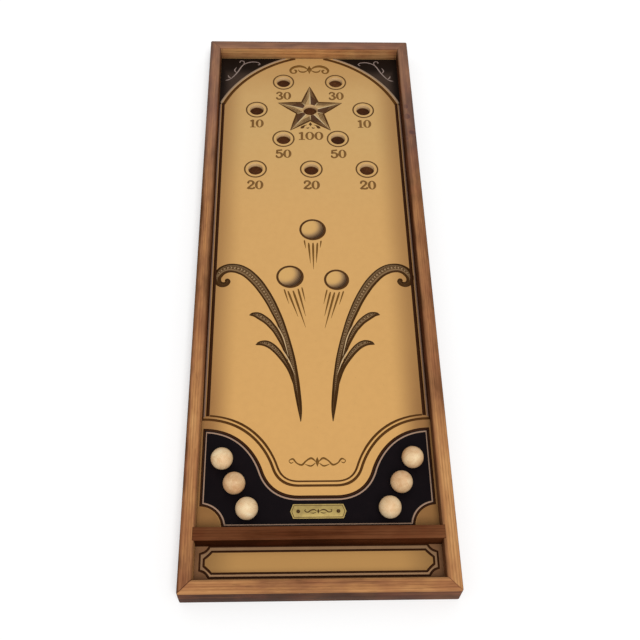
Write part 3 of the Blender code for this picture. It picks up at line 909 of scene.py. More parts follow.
makePlate()
makePins()
print("plate and pins done")

# solids that are shown as they are, by how their names start
plainFinishes = {"back_panel": hardboard, "mitre_tongue": plyEdge, "panel_nail": steel, "bar_screw": steel}
for node, piece in frame["nodes"].items():
    for start, finish in plainFinishes.items():
        if node.startswith(start):
            piece.data.materials.clear()
            piece.data.materials.append(finish)
print("panel, nails, tongues and screws done")

# The print: thin sheets and ribbons of ink on the board, laid in millimetres, x across from the
# middle line and y along the table. A ribbon point is (x, y, width).
inkLook = {
    "first": 0.03 * mm, "step": 0.05 * mm, "thick": 0.035 * mm, "thinnest": 0.15,
    "stagger": 0.0015 * mm, "staggerCount": 8, "mergeReach": 2e-6, "crease": 30,
}


def newTree(name, labels):
    # a tree whose inputs are the geometry, a number for each label and an ink
    tree = bpy.data.node_groups.new(name, "GeometryNodeTree")
    sockets = tree.interface
    sockets.new_socket("Geometry", in_out="INPUT", socket_type="NodeSocketGeometry")
    for label in labels:
        sockets.new_socket(label, in_out="INPUT", socket_type="NodeSocketFloat")
    sockets.new_socket("Ink", in_out="INPUT", socket_type="NodeSocketMaterial")
    sockets.new_socket("Geometry", in_out="OUTPUT", socket_type="NodeSocketGeometry")
    return tree, Wire(tree)


def named(wire, label):
    return wire.node("GeometryNodeInputNamedAttribute", {"data_type": "FLOAT"}, {"Name": label})


def closeTree(wire, whole, ink):
    whole = wire.node("GeometryNodeRealizeInstances", None, {"Geometry": whole})
    whole = wire.node("GeometryNodeSetMaterial", None, {"Geometry": whole, "Material": ink})
    wire.node("NodeGroupOutput", None, {0: whole})


# A flat ribbon along each path, as wide as its points say
def ribbonTree():
    tree, wire = newTree("inkRibbon", ("Thickness",))
    start = wire.node("NodeGroupInput")
    wide, lift = named(wire, "wide"), named(wire, "lift")
    path = wire.node("GeometryNodeMeshToCurve", None, {"Mesh": start})
    path = wire.node("GeometryNodeSetCurveNormal", {"mode": "Z_UP"}, {"Curve": path})
    section = wire.node("GeometryNodeCurvePrimitiveQuadrilateral", None, {"Width": 1.0, "Height": 0.2})
    ribbon = wire.node("GeometryNodeCurveToMesh", None, {
        "Curve": path, "Profile Curve": section, "Scale": wide, "Fill Caps": True})
    # the section's upper and lower points go to the ink's two levels
    x, y, z = wire.node("GeometryNodeInputPosition").parts()
    upper = z.math("GREATER_THAN", z, 0.0)
    flat = wire.node("ShaderNodeCombineXYZ", None, {0: x, 1: y, 2: lift + upper * start.other("Thickness")})
    ribbon = wire.node("GeometryNodeSetPosition", None, {"Geometry": ribbon, "Position": flat})
    closeTree(wire, ribbon, start.other("Ink"))
    return tree


def runTree(piece, tree, values):
    modifier = piece.modifiers.new(tree.name, "NODES")
    modifier.node_group = tree
    for item in tree.interface.items_tree:
        if item.in_out == "INPUT" and item.name in values:
            modifier[item.identifier] = values[item.name]
    graph = bpy.context.evaluated_depsgraph_get()
    made = bpy.data.meshes.new_from_object(piece.evaluated_get(graph), preserve_all_data_layers=True,
                                           depsgraph=graph)
    piece.modifiers.clear()
    piece.data = made


def layerLift(layer):
    return boardTop + inkLook["first"] + layer * inkLook["step"]


def pathMesh(name, strokes, layer, onPath=False):
    # strokes are lists of (x, y, width); a stroke whose last point is its first is closed
    points, edges, wides, lifts = [], [], [], []
    for number, stroke in enumerate(strokes):
        closed = math.dist(stroke[0][:2], stroke[-1][:2]) < mergeReach
        body = stroke[:-1] if closed else stroke
        first = len(points)
        lift = layerLift(layer) + number % inkLook["staggerCount"] * inkLook["stagger"]
        for x, y, wide in body:
            points.append((x * mm, y * mm, lift if onPath else 0.0))
            wides.append(wide * mm)
            lifts.append(lift)
        edges += [(i, i + 1) for i in range(first, len(points) - 1)]
        if closed:
            edges.append((len(points) - 1, first))
    mesh = bpy.data.meshes.new(name)
    mesh.from_pydata(points, edges, [])
    for label, values in (("wide", wides), ("lift", lifts)):
        layerData = mesh.attributes.new(label, "FLOAT", "POINT")
        layerData.data.foreach_set("value", values)
    return mesh


ribbons = ribbonTree()


def inkLines(name, strokes, ink, layer, slot="printed_board"):
    piece = addPiece(name, pathMesh(name, strokes, layer))
    runTree(piece, ribbons, {"Thickness": inkLook["thick"], "Ink": ink})
    standFor(piece, "table", slot)


# A flat sheet of ink inside the outlines; an outline within another is a hole
def inkSheet(name, outlines, ink, layer):
    curve = bpy.data.curves.new(name, "CURVE")
    curve.dimensions = "2D"
    curve.fill_mode = "BOTH"
    curve.extrude = inkLook["thick"] / 2
    for outline in outlines:
        spline = curve.splines.new("POLY")
        spline.points.add(len(outline) - 1)
        for point, (x, y) in zip(spline.points, outline):
            point.co = (x * mm, y * mm, 0.0, 1.0)
        spline.use_cyclic_u = True
    flat = addPiece(name + "Curve", curve)
    graph = bpy.context.evaluated_depsgraph_get()
    made = bpy.data.meshes.new_from_object(flat.evaluated_get(graph))
    bpy.data.objects.remove(flat)
    shape = bmesh.new()
    shape.from_mesh(made)
    bmesh.ops.remove_doubles(shape, verts=shape.verts, dist=inkLook["mergeReach"])
    bmesh.ops.recalc_face_normals(shape, faces=shape.faces)
    bmesh.ops.translate(shape, vec=(0, 0, layerLift(layer) + inkLook["thick"] / 2), verts=shape.verts)
    shape.to_mesh(made)
    shape.free()
    made.materials.clear()
    standFor(addPiece(name, made, ink), "table", "printed_board")


def through(points, perSpan=8):
    # a smooth path through given points, Catmull-Rom
    last = len(points) - 1
    path = []
    for i in range(last):
        four = (points[max(i - 1, 0)], points[i], points[i + 1], points[min(i + 2, last)])
        for step in range(perSpan):
            t = step / perSpan
            path.append(tuple(0.5 * (2 * b + (c - a) * t + (2 * a - 5 * b + 4 * c - d) * t * t
                                     + (3 * b - a - 3 * c + d) * t ** 3) for a, b, c, d in zip(*four)))
    path.append(tuple(points[last]))
    return [(x, y, max(wide, inkLook["thinnest"])) for x, y, wide in path]


def bolder(strokes, share):
    return [[(x, y, wide * share) for x, y, wide in stroke] for stroke in strokes]


def ring(centre, radius, wide, step=6.0):
    return [(x, y, wide) for x, y in arc(centre, radius, 0, 360, step)]


def bezier(first, second, third, fourth, count):
    points = []
    for i in range(count + 1):
        t = i / count
        weights = ((1 - t) ** 3, 3 * t * (1 - t) ** 2, 3 * t * t * (1 - t), t ** 3)
        points.append(tuple(sum(w * p[k] for w, p in zip(weights, (first, second, third, fourth)))
                            for k in (0, 1)))
    return points


def shifted(path, distance):
    # the path moved sideways, to the right of its direction
    moved = []
    for i, (x, y) in enumerate(path):
        before, after = path[max(i - 1, 0)], path[min(i + 1, len(path) - 1)]
        dx, dy = after[0] - before[0], after[1] - before[1]
        size = math.hypot(dx, dy)
        moved.append((x + distance * dy / size, y - distance * dx / size))
    return moved


def mirrored(path):
    return [(-x, *rest) for x, *rest in path]


def wideAll(path, wide):
    return [(x, y, wide) for x, y in path]


borderLook = {
    "sideLow": -279.7, "sideHigh": 421.5, "boardEnd": 551.5,
    # place, width, and how far each line runs past the low and the high end
    "dark": (173.6, 5.6, 1.3, 0.0), "outer": (181.2, 1.8, 8.6, 2.0), "pale": (179.1, 2.5, 3.0, 1.0),
    "archCentre": (-35.0, 337.4), "archDark": (223.7, 6.0), "archPale": (230.4, 4.4), "archEdge": 231.8,
    "archStart": 418.5, "leftArchShift": 1.0, "cornerSide": 182.9,
    "ogeeSide": 181.0, "ogeeShoulder": 92.0, "ogeeTurn": ((65.9, -357.9), (62.8, -367.4), (60.0, -375.6)),
    "ogeeFoot": ((54.1, -393.4), (28.9, -393.4)), "ogeeGap": 7.0, "ogeeReach": 174.9,
    "ogeeInner": ((0, 2.7), (45, 2.8), (66, 3.4), (85, 4.1), (122, 4.2), (140, 3.5), (155, 3.1), (181, 2.9)),
    "ogeeOuter": ((0, 3.8), (30, 3.9), (50, 4.5), (70, 4.2), (90, 4.3), (122, 4.7), (140, 4.3), (181, 4.1)),
}


def ogeePath(drop=0.0):
    # the lower border from the right side line to the middle and on to the left, moved down by drop
    look = borderLook
    low = look["sideLow"]
    before, turn, after = look["ogeeTurn"]
    bottom, foot = look["ogeeFoot"]
    right = bezier((look["ogeeSide"], low), (look["ogeeShoulder"], low), before, turn, 24)
    right += bezier(turn, after, bottom, foot, 16)[1:]
    whole = right + [(0.0, foot[1])] + mirrored(right)[::-1]
    return shifted(whole, -drop)


def archPath(radius):
    # the right-hand arch line from the side up to the back rail
    cx, cy = borderLook["archCentre"]
    start = math.degrees(math.asin((borderLook["archStart"] - cy) / radius))
    end = math.degrees(math.asin((borderLook["boardEnd"] - cy) / radius))
    return arc((cx, cy), radius, start, end, 3.0)


def makeBorder():
    look = borderLook

    def leftArch(path):
        return [(x + look["leftArchShift"], *rest) for x, *rest in mirrored(path)]

    dark, pale, curves, arches = [], [], [], []
    for flip in (list, mirrored):
        for lines, key in ((dark, "dark"), (dark, "outer"), (pale, "pale")):
            x, wide, below, above = look[key]
            lines.append(flip([(x, look["sideLow"] - below, wide), (x, look["sideHigh"] + above, wide)]))
    for flip in (list, leftArch):
        for lines, key in ((curves, "archDark"), (arches, "archPale")):
            radius, wide = look[key]
            lines.append(flip(wideAll(archPath(radius), wide)))
    upper = [p for p in ogeePath() if abs(p[0]) <= look["ogeeReach"]]
    lower = ogeePath(look["ogeeGap"])
    for path, widths in ((upper, look["ogeeInner"]), (lower, look["ogeeOuter"])):
        curves.append([(x, y, valueAt(widths, abs(x))) for x, y in path])
    inkLines("borderDarkLines", dark, lineInk, 3)
    inkLines("borderCurves", curves, curveInk, 2)
    inkLines("borderPaleLines", pale, paleInk, 1)
    inkLines("borderArches", arches, archInk, 1)
    side = look["cornerSide"]
    panel = archPath(look["archEdge"]) + [(side, look["boardEnd"]), (side, look["archStart"])]
    inkSheet("archCorners", [panel, leftArch(panel)], cornerBlack, 0)


scrollLook = {
    "bold": 1.15,
    "main": [(-164, 488, 0.6), (-157, 496, 1.8), (-148, 510, 2.4), (-141, 525, 2.2), (-135, 536, 1.8),
             (-136, 543, 1.6), (-142, 544, 1.6), (-144, 539, 2.2)],
    "branch": [(-141, 527, 0.8), (-132, 536, 1.8), (-120, 541, 2.0), (-107, 540, 1.6), (-102, 535, 1.4),
               (-106, 532, 1.8)],
    "leaves": ([(-149, 508, 0.5), (-154, 516, 2.2), (-150, 525, 0.4)],
               [(-160, 492, 0.5), (-165, 496, 2.4), (-167, 502, 0.5)],
               [(-160, 492, 0.5), (-166, 488, 2.6), (-172, 486, 0.5)]),
}


def makeScrolls():
    look = scrollLook
    half = [through(stroke) for stroke in (look["main"], look["branch"], *look["leaves"])]
    half = bolder(half, look["bold"])
    inkLines("cornerScrolls", half + [mirrored(stroke) for stroke in half], greyInk, 2)


makeBorder()
makeScrolls()
print("border done")

ringLook = {"radius": 20.4, "wide": 3.0}
numberLook = {
    "height": 21.0, "bold": 0.036,
    "widen": {"30": 1.16, "10": 1.16, "50": 1.16, "20": 1.16, "100": 1.33},
    "below": {"30": 39.5, "10": 38.0, "50": 39.5, "20": 40.0, "100": 71.1},
    "zeroAdvance": 0.64, "zeroMiddle": (0.32, 0.5), "zeroHalf": (0.225, 0.47), "zeroThin": 0.055,
    "zeroThick": 0.145, "zeroStress": 1.6, "zeroSteps": 28,
}
# Each digit on a height of 1: its advance and its strokes, thick and thin as cut in metal type
digitStrokes = {
    "1": (0.52, [[(0.29, 0.02, 0.19), (0.29, 0.98, 0.19)], [(0.07, 0.03, 0.055), (0.51, 0.03, 0.055)],
                 [(0.30, 0.95, 0.10), (0.22, 0.86, 0.12), (0.08, 0.80, 0.04)]]),
    "2": (0.63, [[(0.16, 0.70, 0.17), (0.10, 0.77, 0.15), (0.16, 0.92, 0.07), (0.31, 0.97, 0.06),
                  (0.46, 0.88, 0.15), (0.50, 0.72, 0.20), (0.42, 0.54, 0.15), (0.24, 0.32, 0.07),
                  (0.10, 0.12, 0.06), (0.07, 0.04, 0.08)],
                 [(0.08, 0.06, 0.07), (0.22, 0.09, 0.15), (0.42, 0.07, 0.16), (0.55, 0.12, 0.08),
                  (0.58, 0.26, 0.04)]]),
    "3": (0.62, [[(0.15, 0.76, 0.15), (0.11, 0.82, 0.13), (0.18, 0.94, 0.06), (0.31, 0.97, 0.06),
                  (0.44, 0.88, 0.15), (0.46, 0.73, 0.19), (0.38, 0.58, 0.11), (0.25, 0.53, 0.05)],
                 [(0.25, 0.53, 0.05), (0.42, 0.47, 0.12), (0.51, 0.29, 0.21), (0.46, 0.11, 0.15),
                  (0.30, 0.03, 0.06), (0.15, 0.07, 0.07), (0.09, 0.20, 0.13), (0.14, 0.26, 0.15)]]),
    "5": (0.62, [[(0.15, 0.92, 0.12), (0.34, 0.92, 0.16), (0.53, 0.97, 0.07)],
                 [(0.14, 0.96, 0.05), (0.13, 0.72, 0.05), (0.11, 0.50, 0.05)],
                 [(0.11, 0.52, 0.05), (0.24, 0.62, 0.07), (0.42, 0.57, 0.14), (0.52, 0.36, 0.21),
                  (0.47, 0.14, 0.15), (0.31, 0.03, 0.06), (0.15, 0.07, 0.07), (0.09, 0.20, 0.13),
                  (0.14, 0.26, 0.15)]]),
}


def zeroStroke():
    # an oval, thick at its sides
    look = numberLook
    (cx, cy), (halfWide, halfHigh) = look["zeroMiddle"], look["zeroHalf"]
    stroke = []
    for i in range(look["zeroSteps"] + 1):
        turn = 2 * math.pi * i / look["zeroSteps"]
        wide = look["zeroThin"] + look["zeroThick"] * abs(math.cos(turn)) ** look["zeroStress"]
        stroke.append((cx + halfWide * math.cos(turn), cy + halfHigh * math.sin(turn), wide))
    return stroke


def numberStrokes(label, x, y):
    look = numberLook
    size, widen = look["height"], look["widen"][label]
    placed, pen = [], 0.0
    for digit in label:
        if digit == "0":
            advance, strokes = look["zeroAdvance"], [zeroStroke()]
        else:
            advance, raw = digitStrokes[digit]
            strokes = [through(stroke, 5) if len(stroke) > 2 else stroke for stroke in raw]
        placed += [[(pen + px, py, wide) for px, py, wide in stroke] for stroke in strokes]
        pen += advance
    return [[(x + (px - pen / 2) * size * widen, y + (py - 0.5) * size, (wide + look["bold"]) * size)
             for px, py, wide in stroke] for stroke in placed]


def makeScores():
    rings, numbers = [], []
    for name, (x, y) in holes.items():
        label = name.split("_")[1]
        if label != "100":
            rings.append(ring((x / mm, y / mm), ringLook["radius"], ringLook["wide"]))
        numbers += numberStrokes(label, x / mm, y / mm - numberLook["below"][label])
    inkLines("scoreRings", rings, ringInk, 0)
    inkLines("scoreNumbers", numbers, scoreInk, 1)


starLook = {
    "middle": (0.0, 401.4), "reach": 67.3, "waist": 28.0, "holeClear": 15.4, "edge": 3.0, "shine": 3.2,
    "darkHatch": (0.08, 0.17, 0.26, 0.35, 0.44, 0.53), "lightHatch": (0.08, 0.16, 0.24, 0.33, 0.42),
    "hatch": 1.2, "hatchTip": 0.3, "edgeTip": 0.9, "coreTip": 0.62, "coreWaist": 0.12,
    # the shine's share of its width at the hole, then how far out and the share there
    "armShine": (1.0, ((0.5, 0.7), (0.8, 0.125))), "waistShine": (0.6, ((0.95, 0.1875),)),
    "garlandBold": 1.35,
    "garland": ([(0, 369, 0.3), (0, 366, 2.4), (0, 363.4, 5.0), (0, 360.8, 2.4), (0, 358, 0.3)],
                [(-6.5, 361.5, 0.5), (-10.5, 360.3, 1.4), (-13.5, 357.8, 3.2), (-16.3, 354.6, 4.6),
                 (-20, 352.6, 0.5)],
                [(-2.5, 355.5, 0.4), (-5, 352.8, 2.0), (-9, 353.6, 0.4)]),
}
starLight = inkMaterial("starLightInk", tint(186, 152, 104), tint(156, 122, 80), 0.6)
starDark = inkMaterial("starDarkInk", tint(116, 88, 58), tint(142, 108, 72), 0.6)
starCore = inkMaterial("starCoreInk", tint(78, 53, 39), tint(104, 76, 56), 0.6)
starShine = inkMaterial("starRidgeInk", tint(202, 178, 136), tint(186, 156, 112))


def makeStar():
    look = starLook
    middle = Vector(look["middle"])
    hub = Vector(holes["hole_100"]) / mm

    def spoke(turn, radius):
        return middle + Vector((math.cos(math.radians(turn)), math.sin(math.radians(turn)))) * radius

    def fromHub(target):
        # where the line from the star's middle to the target leaves the hole's margin
        way = (target - middle).normalized()
        off = middle - hub
        reach = -off.dot(way) + math.sqrt(off.dot(way) ** 2 - off.dot(off) + look["holeClear"] ** 2)
        return middle + way * reach

    light, dark, cores, lines, hatch, shine = [], [], [], [], [], []
    edge, mark, glow = look["edge"], look["hatch"], look["shine"]
    for arm in range(5):
        tip = spoke(90 + 72 * arm, look["reach"])
        for side, sheets, steps in ((36, light, look["lightHatch"]), (-36, dark, look["darkHatch"])):
            waist = spoke(90 + 72 * arm + side, look["waist"])
            sheets.append([tuple(p) for p in (fromHub(tip), tip, waist, fromHub(waist))])
            lines.append([(*tip, look["edgeTip"]), (*((tip + waist) / 2), edge), (*waist, edge)])
            for share in steps:
                start, end = tip.lerp(middle, share), waist.lerp(middle, share)
                if (end - hub).length > look["holeClear"]:
                    hatch.append([(*start, look["hatchTip"]), (*start.lerp(end, 0.5), mark), (*end, mark)])
        core = (fromHub(tip), middle.lerp(tip, look["coreTip"]), waist.lerp(tip, look["coreWaist"]),
                fromHub(waist))
        cores.append([tuple(p) for p in core])
        for end, (near, further) in ((tip, look["armShine"]), (waist, look["waistShine"])):
            shine.append([(*fromHub(end), glow * near)]
                         + [(*middle.lerp(end, out), glow * share) for out, share in further])
    garland = bolder([through(stroke) for stroke in look["garland"]], look["garlandBold"])
    garland += [mirrored(stroke) for stroke in garland[1:]]
    inkSheet("starLightFacets", light, starLight, 0)
    inkSheet("starDarkFacets", dark, starDark, 0)
    inkSheet("starDarkCores", cores, starCore, 1)
    inkLines("starHatching", hatch, brownInk, 2)
    inkLines("starOutline", lines, brownInk, 3)
    inkLines("starRidges", shine, starShine, 4)
    inkLines("starGarland", garland, brownInk, 2)


makeScores()
makeStar()
print("scores and star done")

drawnBallLook = {
    "balls": ((0.0, 98.4, 24.2), (-41.6, -7.0, 24.1), (40.3, -13.6, 22.0)),
    "rim": 4.0, "shadeRim": 0.6383, "discInset": 1.0, "discRings": (1.0, 0.75, 0.5, 0.25),
    "lightSpot": (-0.38, 0.32, 0.0), "shadeFrom": (0.44, 1.43), "lineRate": 62.0, "lineShare": 0.35,
    "shades": ((0.0, tint(210, 166, 102)), (0.22, tint(198, 156, 98)), (0.5, tint(154, 122, 83)),
               (0.78, tint(104, 78, 53)), (0.97, tint(38, 21, 10))),
    "strokeShare": 1.42, "taper": ((0.0, 0.6), (0.12, 1.05), (0.4, 0.95), (0.7, 0.6), (1.0, 0.14)),
    "topStrokes": ((0.3, 68, 0.4, 9, 2.6), (-7.6, 68, -4.9, 22, 2.4), (8.2, 68, 5.6, 23, 2.4),
                   (-15.4, 74, -12.9, 55, 1.8), (15.0, 73, 13.2, 57, 1.8)),
    "leftStrokes": ((-51.7, -34, -43.4, -65, 1.8), (-45, -38, -27.6, -92, 2.4),
                    (-36.2, -37, -15.2, -113, 2.6), (-27.5, -33, -14.9, -90, 2.4),
                    (-20.8, -30, -15.2, -60, 1.8)),
    "rightStrokes": ((52, -38, 43.4, -67, 1.8), (44.8, -40, 28.6, -95, 2.4), (36.2, -40.7, 17.6, -115, 2.6),
                     (29.0, -40, 17.6, -90, 2.4), (23.2, -35, 16.7, -65, 1.8)),
}


# A drawn ball's shading, engraved: light at the upper left, curved lines closing up to the dark side
def shadedMaterial():
    look = drawnBallLook
    material, wire = newMaterial("drawnBallShading")
    spot = ownValue(wire, "spot", "Vector")
    tooth = objectPlace(wire).grains(inkFinish["tooth"], 2.0)
    away = spot.far(look["lightSpot"])
    phase = away * look["lineRate"]
    lines = phase.math("SINE", phase) * 0.5 + 0.5
    shade = away.smooth(*look["shadeFrom"])
    colour = (shade + (lines - 0.5) * shade * look["lineShare"] + tooth * 0.06).ramp(*look["shades"])
    roughness = 0.44 + tooth * inkFinish["toothShare"]
    closePrint(wire, colour, roughness, tooth + lines * 0.2, inkFinish["paperGloss"])
    return material


# Flat discs of ink; each point carries its place on the disc, for the shading
def discSheet(name, discs, ink, layer):
    shape = bmesh.new()
    spotLayer = shape.verts.layers.float_vector.new("spot")
    low = layerLift(layer)
    for cx, cy, radius in discs:
        loops = []
        for height, shares in ((0.0, (1.0,)), (inkLook["thick"], drawnBallLook["discRings"])):
            for share in shares:
                loop = []
                for x, y in arc((0.0, 0.0), share, 0, 360, 6.0)[:-1]:
                    vert = shape.verts.new(((cx + x * radius) * mm, (cy + y * radius) * mm, low + height))
                    vert[spotLayer] = Vector((x, y, 0.0))
                    loop.append(vert)
                loops.append(loop)
        for outer, inner in zip(loops, loops[1:]):
            for i in range(len(outer)):
                j = (i + 1) % len(outer)
                shape.faces.new((outer[i], outer[j], inner[j], inner[i]))
        shape.faces.new(loops[0])
        shape.faces.new(loops[-1])
    mesh = finishMesh(shape, name, inkLook["crease"])
    standFor(addPiece(name, mesh, ink), "table", "printed_board")


def makeDrawnBalls():
    look = drawnBallLook
    rims, strokes = [], []
    for cx, cy, radius in look["balls"]:
        path = arc((cx, cy), radius - look["rim"] / 2, 0, 360, 5.0)
        # thicker towards the dark side, at the lower right
        rims.append([(x, y, look["rim"] + look["shadeRim"] * max(0.0, ((x - cx) - (y - cy)) / radius))
                     for x, y in path])
    for x1, y1, x2, y2, wide in look["topStrokes"] + look["leftStrokes"] + look["rightStrokes"]:
        strokes.append([(x1 + (x2 - x1) * t, y1 + (y2 - y1) * t, wide * share * look["strokeShare"])
                        for t, share in look["taper"]])
    discs = [(cx, cy, radius - look["discInset"]) for cx, cy, radius in look["balls"]]
    discSheet("drawnBalls", discs, shadedMaterial(), 0)
    inkLines("drawnBallRims", rims, brownInk, 1)
    inkLines("motionStrokes", strokes, strokeInk, 0)


makeDrawnBalls()

stemLook = {
    "stem": [(-25, -291, 0.3), (-25.8, -275, 2.4), (-27.4, -258, 4.6), (-29.8, -238, 6.0), (-32.2, -218, 6.8),
             (-34.8, -198, 6.6), (-38, -178, 6.8), (-42.3, -158, 7.0), (-47, -139, 7.2), (-52.6, -120, 8.0),
             (-59, -100, 9.0), (-67, -80, 10.5), (-75.5, -60, 11.4), (-86, -40, 12.4), (-98.5, -20, 13.4),
             (-115, -1, 13.8), (-130, 8.8, 14.2), (-142.5, 11.7, 13.6), (-153.0, 10.4, 13.0),
             (-161.9, 4.8, 12.2), (-167.4, -4.2, 10.4), (-168.8, -11.6, 8.6), (-167.2, -18.6, 7.6),
             (-163.4, -22.8, 7.0), (-158.4, -24.3, 6.4), (-152.8, -22.2, 5.6), (-150.0, -17.6, 4.8),
             (-151.0, -13.4, 2.8)],
    "upperLeaf": [(-111.0, -88, 0.3), (-104, -86.5, 4.6), (-94.2, -89.7, 8.6), (-80.5, -100.5, 8.2),
                  (-72.5, -110.5, 7.2), (-66, -120, 6.4), (-57, -139, 4.8), (-50.5, -156, 3.2),
                  (-44, -178, 1.5)],
    "lowerLeaf": [(-99, -147.5, 0.3), (-92, -144.5, 4.4), (-82, -145.0, 7.8), (-72, -151, 8.0),
                  (-62, -162, 7.2), (-54, -174, 6.0), (-47, -186, 4.8), (-41, -200, 3.6),
                  (-36, -218, 2.2), (-32.2, -236, 1.0)],
    "shine": ([(-67.4, -104, 0.4), (-61, -115, 1.4), (-55.2, -128.3, 2.0), (-51.1, -141, 1.9),
               (-44.5, -170, 0.5)],
              [(-55.5, -155, 0.4), (-50.5, -165, 1.5), (-47.2, -171.4, 1.9), (-41.9, -183, 1.8),
               (-34.0, -206, 0.4)]),
    "bulb": (-151.2, -15.4, 4.4), "rightShift": 1.6, "litShift": (-0.6, 0.8), "fuller": 1.18,
    "outline": 3.2, "tipStart": 0.2, "tipRate": 0.26, "thinnest": 0.2, "thinBelow": 8.0, "thinRate": 0.35,
    "footFrom": -160.0, "footRate": 0.035, "hookFrom": (-138.0, 0.0), "hookRate": (0.11, 0.14),
    "hatchSpacing": 3.6 * mm, "hatchWide": 1.2 * mm, "hatchSlant": 32.0, "hatchReach": 0.52,
    "fleckSpacing": 6.1 * mm, "fleckWide": 1.2 * mm, "fleckCore": 0.45, "fleckFrom": 5.0,
}


# Slanted engraver's marks along a path, out to a share of its width on both sides
def hatchTree():
    tree, wire = newTree("stemHatch", ("Spacing", "Mark Width", "Thickness", "Slant", "Reach"))
    start = wire.node("NodeGroupInput")
    wide = named(wire, "wide")
    path = wire.node("GeometryNodeMeshToCurve", None, {"Mesh": start})
    points = wire.node("GeometryNodeCurveToPoints", {"mode": "LENGTH"},
                       {"Curve": path, "Length": start.other("Spacing")})
    tx, ty = points.other("Tangent").parts()[:2]
    heading = tx.math("ARCTAN2", ty, tx)
    size = wire.node("ShaderNodeCombineXYZ", None, {
        0: 1.0, 1: start.other("Mark Width"), 2: start.other("Thickness")})
    mark = wire.node("GeometryNodeMeshCube", None, {"Size": size})
    mark = wire.node("GeometryNodeTransform", None, {"Geometry": mark, "Translation": (0.5, 0.0, 0.0)})
    marks = wire.node("GeometryNodeJoinGeometry")
    for side in (1, -1):
        turn = wire.node("ShaderNodeCombineXYZ", None, {2: heading + start.other("Slant") * side})
        length = wire.node("ShaderNodeCombineXYZ", None, {0: wide * start.other("Reach"), 1: 1.0, 2: 1.0})
        placed = wire.node("GeometryNodeInstanceOnPoints", None, {
            "Points": points, "Instance": mark, "Scale": length,
            "Rotation": wire.node("FunctionNodeEulerToRotation", None, {0: turn})})
        tree.links.new(placed.socket, marks.socket.node.inputs[0])
    closeTree(wire, marks, start.other("Ink"))
    return tree


hatches = hatchTree()


def hatchMarks(name, strokes, ink, layer, spacing, wide, slant):
    piece = addPiece(name, pathMesh(name, strokes, layer, True))
    runTree(piece, hatches, {
        "Spacing": spacing, "Mark Width": wide, "Thickness": inkLook["thick"], "Slant": math.radians(slant),
        "Reach": stemLook["hatchReach"], "Ink": ink})
    standFor(piece, "table", "printed_board")


def makeStems():
    look = stemLook

    def inside(x, y, wide):
        # the body within the outline, which closes up towards thin ends, the foot and the hook
        thin = max(0.0, look["thinBelow"] - wide) * look["thinRate"]
        foot = max(0.0, look["footFrom"] - y) * look["footRate"]
        hook = 0.0
        if x < look["hookFrom"][0]:
            hook = sum(max(0.0, start - place) * rate
                       for start, place, rate in zip(look["hookFrom"], (x, y), look["hookRate"]))
        return max(look["thinnest"], wide - look["outline"] - foot - hook - thin)

    def both(strokes):
        return strokes + [[(x + look["rightShift"], *rest) for x, *rest in mirrored(stroke)]
                          for stroke in strokes]

    half = [through(look[part], 6) for part in ("lowerLeaf", "upperLeaf", "stem")]
    half = bolder(half, look["fuller"])
    edge = [[(x, y, wide + look["outline"] * min(1.0, look["tipStart"] + wide * look["tipRate"]))
             for x, y, wide in stroke] for stroke in half]
    bulbX, bulbY, size = look["bulb"]
    edge.append(ring((bulbX, bulbY), size / 2, size, 15))
    dx, dy = look["litShift"]
    # lit from the same side on both stems
    fill = [[(x + dx, y + dy, inside(-abs(x), y, wide)) for x, y, wide in stroke] for stroke in both(half)]
    core = [[point for point in stroke if point[2] > look["fleckFrom"]] for stroke in fill]
    core = bolder([stroke for stroke in core if len(stroke) > 2], look["fleckCore"])
    inkLines("stemOutlines", both(edge), stemEdge, 1)
    inkLines("stemBodies", fill, stemInk, 2)
    slant = look["hatchSlant"]
    hatchMarks("stemHatching", fill, stemEdge, 3, look["hatchSpacing"], look["hatchWide"], 180 - slant)
    hatchMarks("stemFlecks", core, fleckInk, 4, look["fleckSpacing"], look["fleckWide"], slant)
    shine = [through(stroke) for stroke in look["shine"]]
    inkLines("stemHighlights", both(shine), shineInk, 4)


makeStems()
print("stems and drawn balls done")

panelLook = {
    "ogeeDrop": 23.1, "side": 179.4, "cornerCentre": (180.2, -467.0), "cornerRadius": 34.5, "bottom": -467.7,
    "lineInset": 5.2, "lineWide": 2.5, "ogeeShare": 1.25, "edgeInset": 1.7, "edgeWide": 3.4,
    "washSide": 181.9, "washFoot": -470.3, "washGap": 0.6, "washTurn": (92, 178),
}


def panelOutline(inset):
    # one outline of the dark panel, moved inwards by inset
    look = panelLook
    side, bottom = look["side"] - inset, look["bottom"] + inset
    cx, cy = look["cornerCentre"]
    radius = look["cornerRadius"] + inset
    ogee = ogeePath(look["ogeeDrop"] + inset * look["ogeeShare"])
    top = [p for p in ogee if abs(p[0]) < side]
    rise = math.degrees(math.acos((side - cx) / radius))
    run = math.degrees(math.asin((bottom - cy) / radius))
    corner = arc((cx, cy), radius, 180 - run, rise, 5.0)
    right = corner + [(side, ogee[0][1])]
    return right + top + mirrored(right)[::-1]


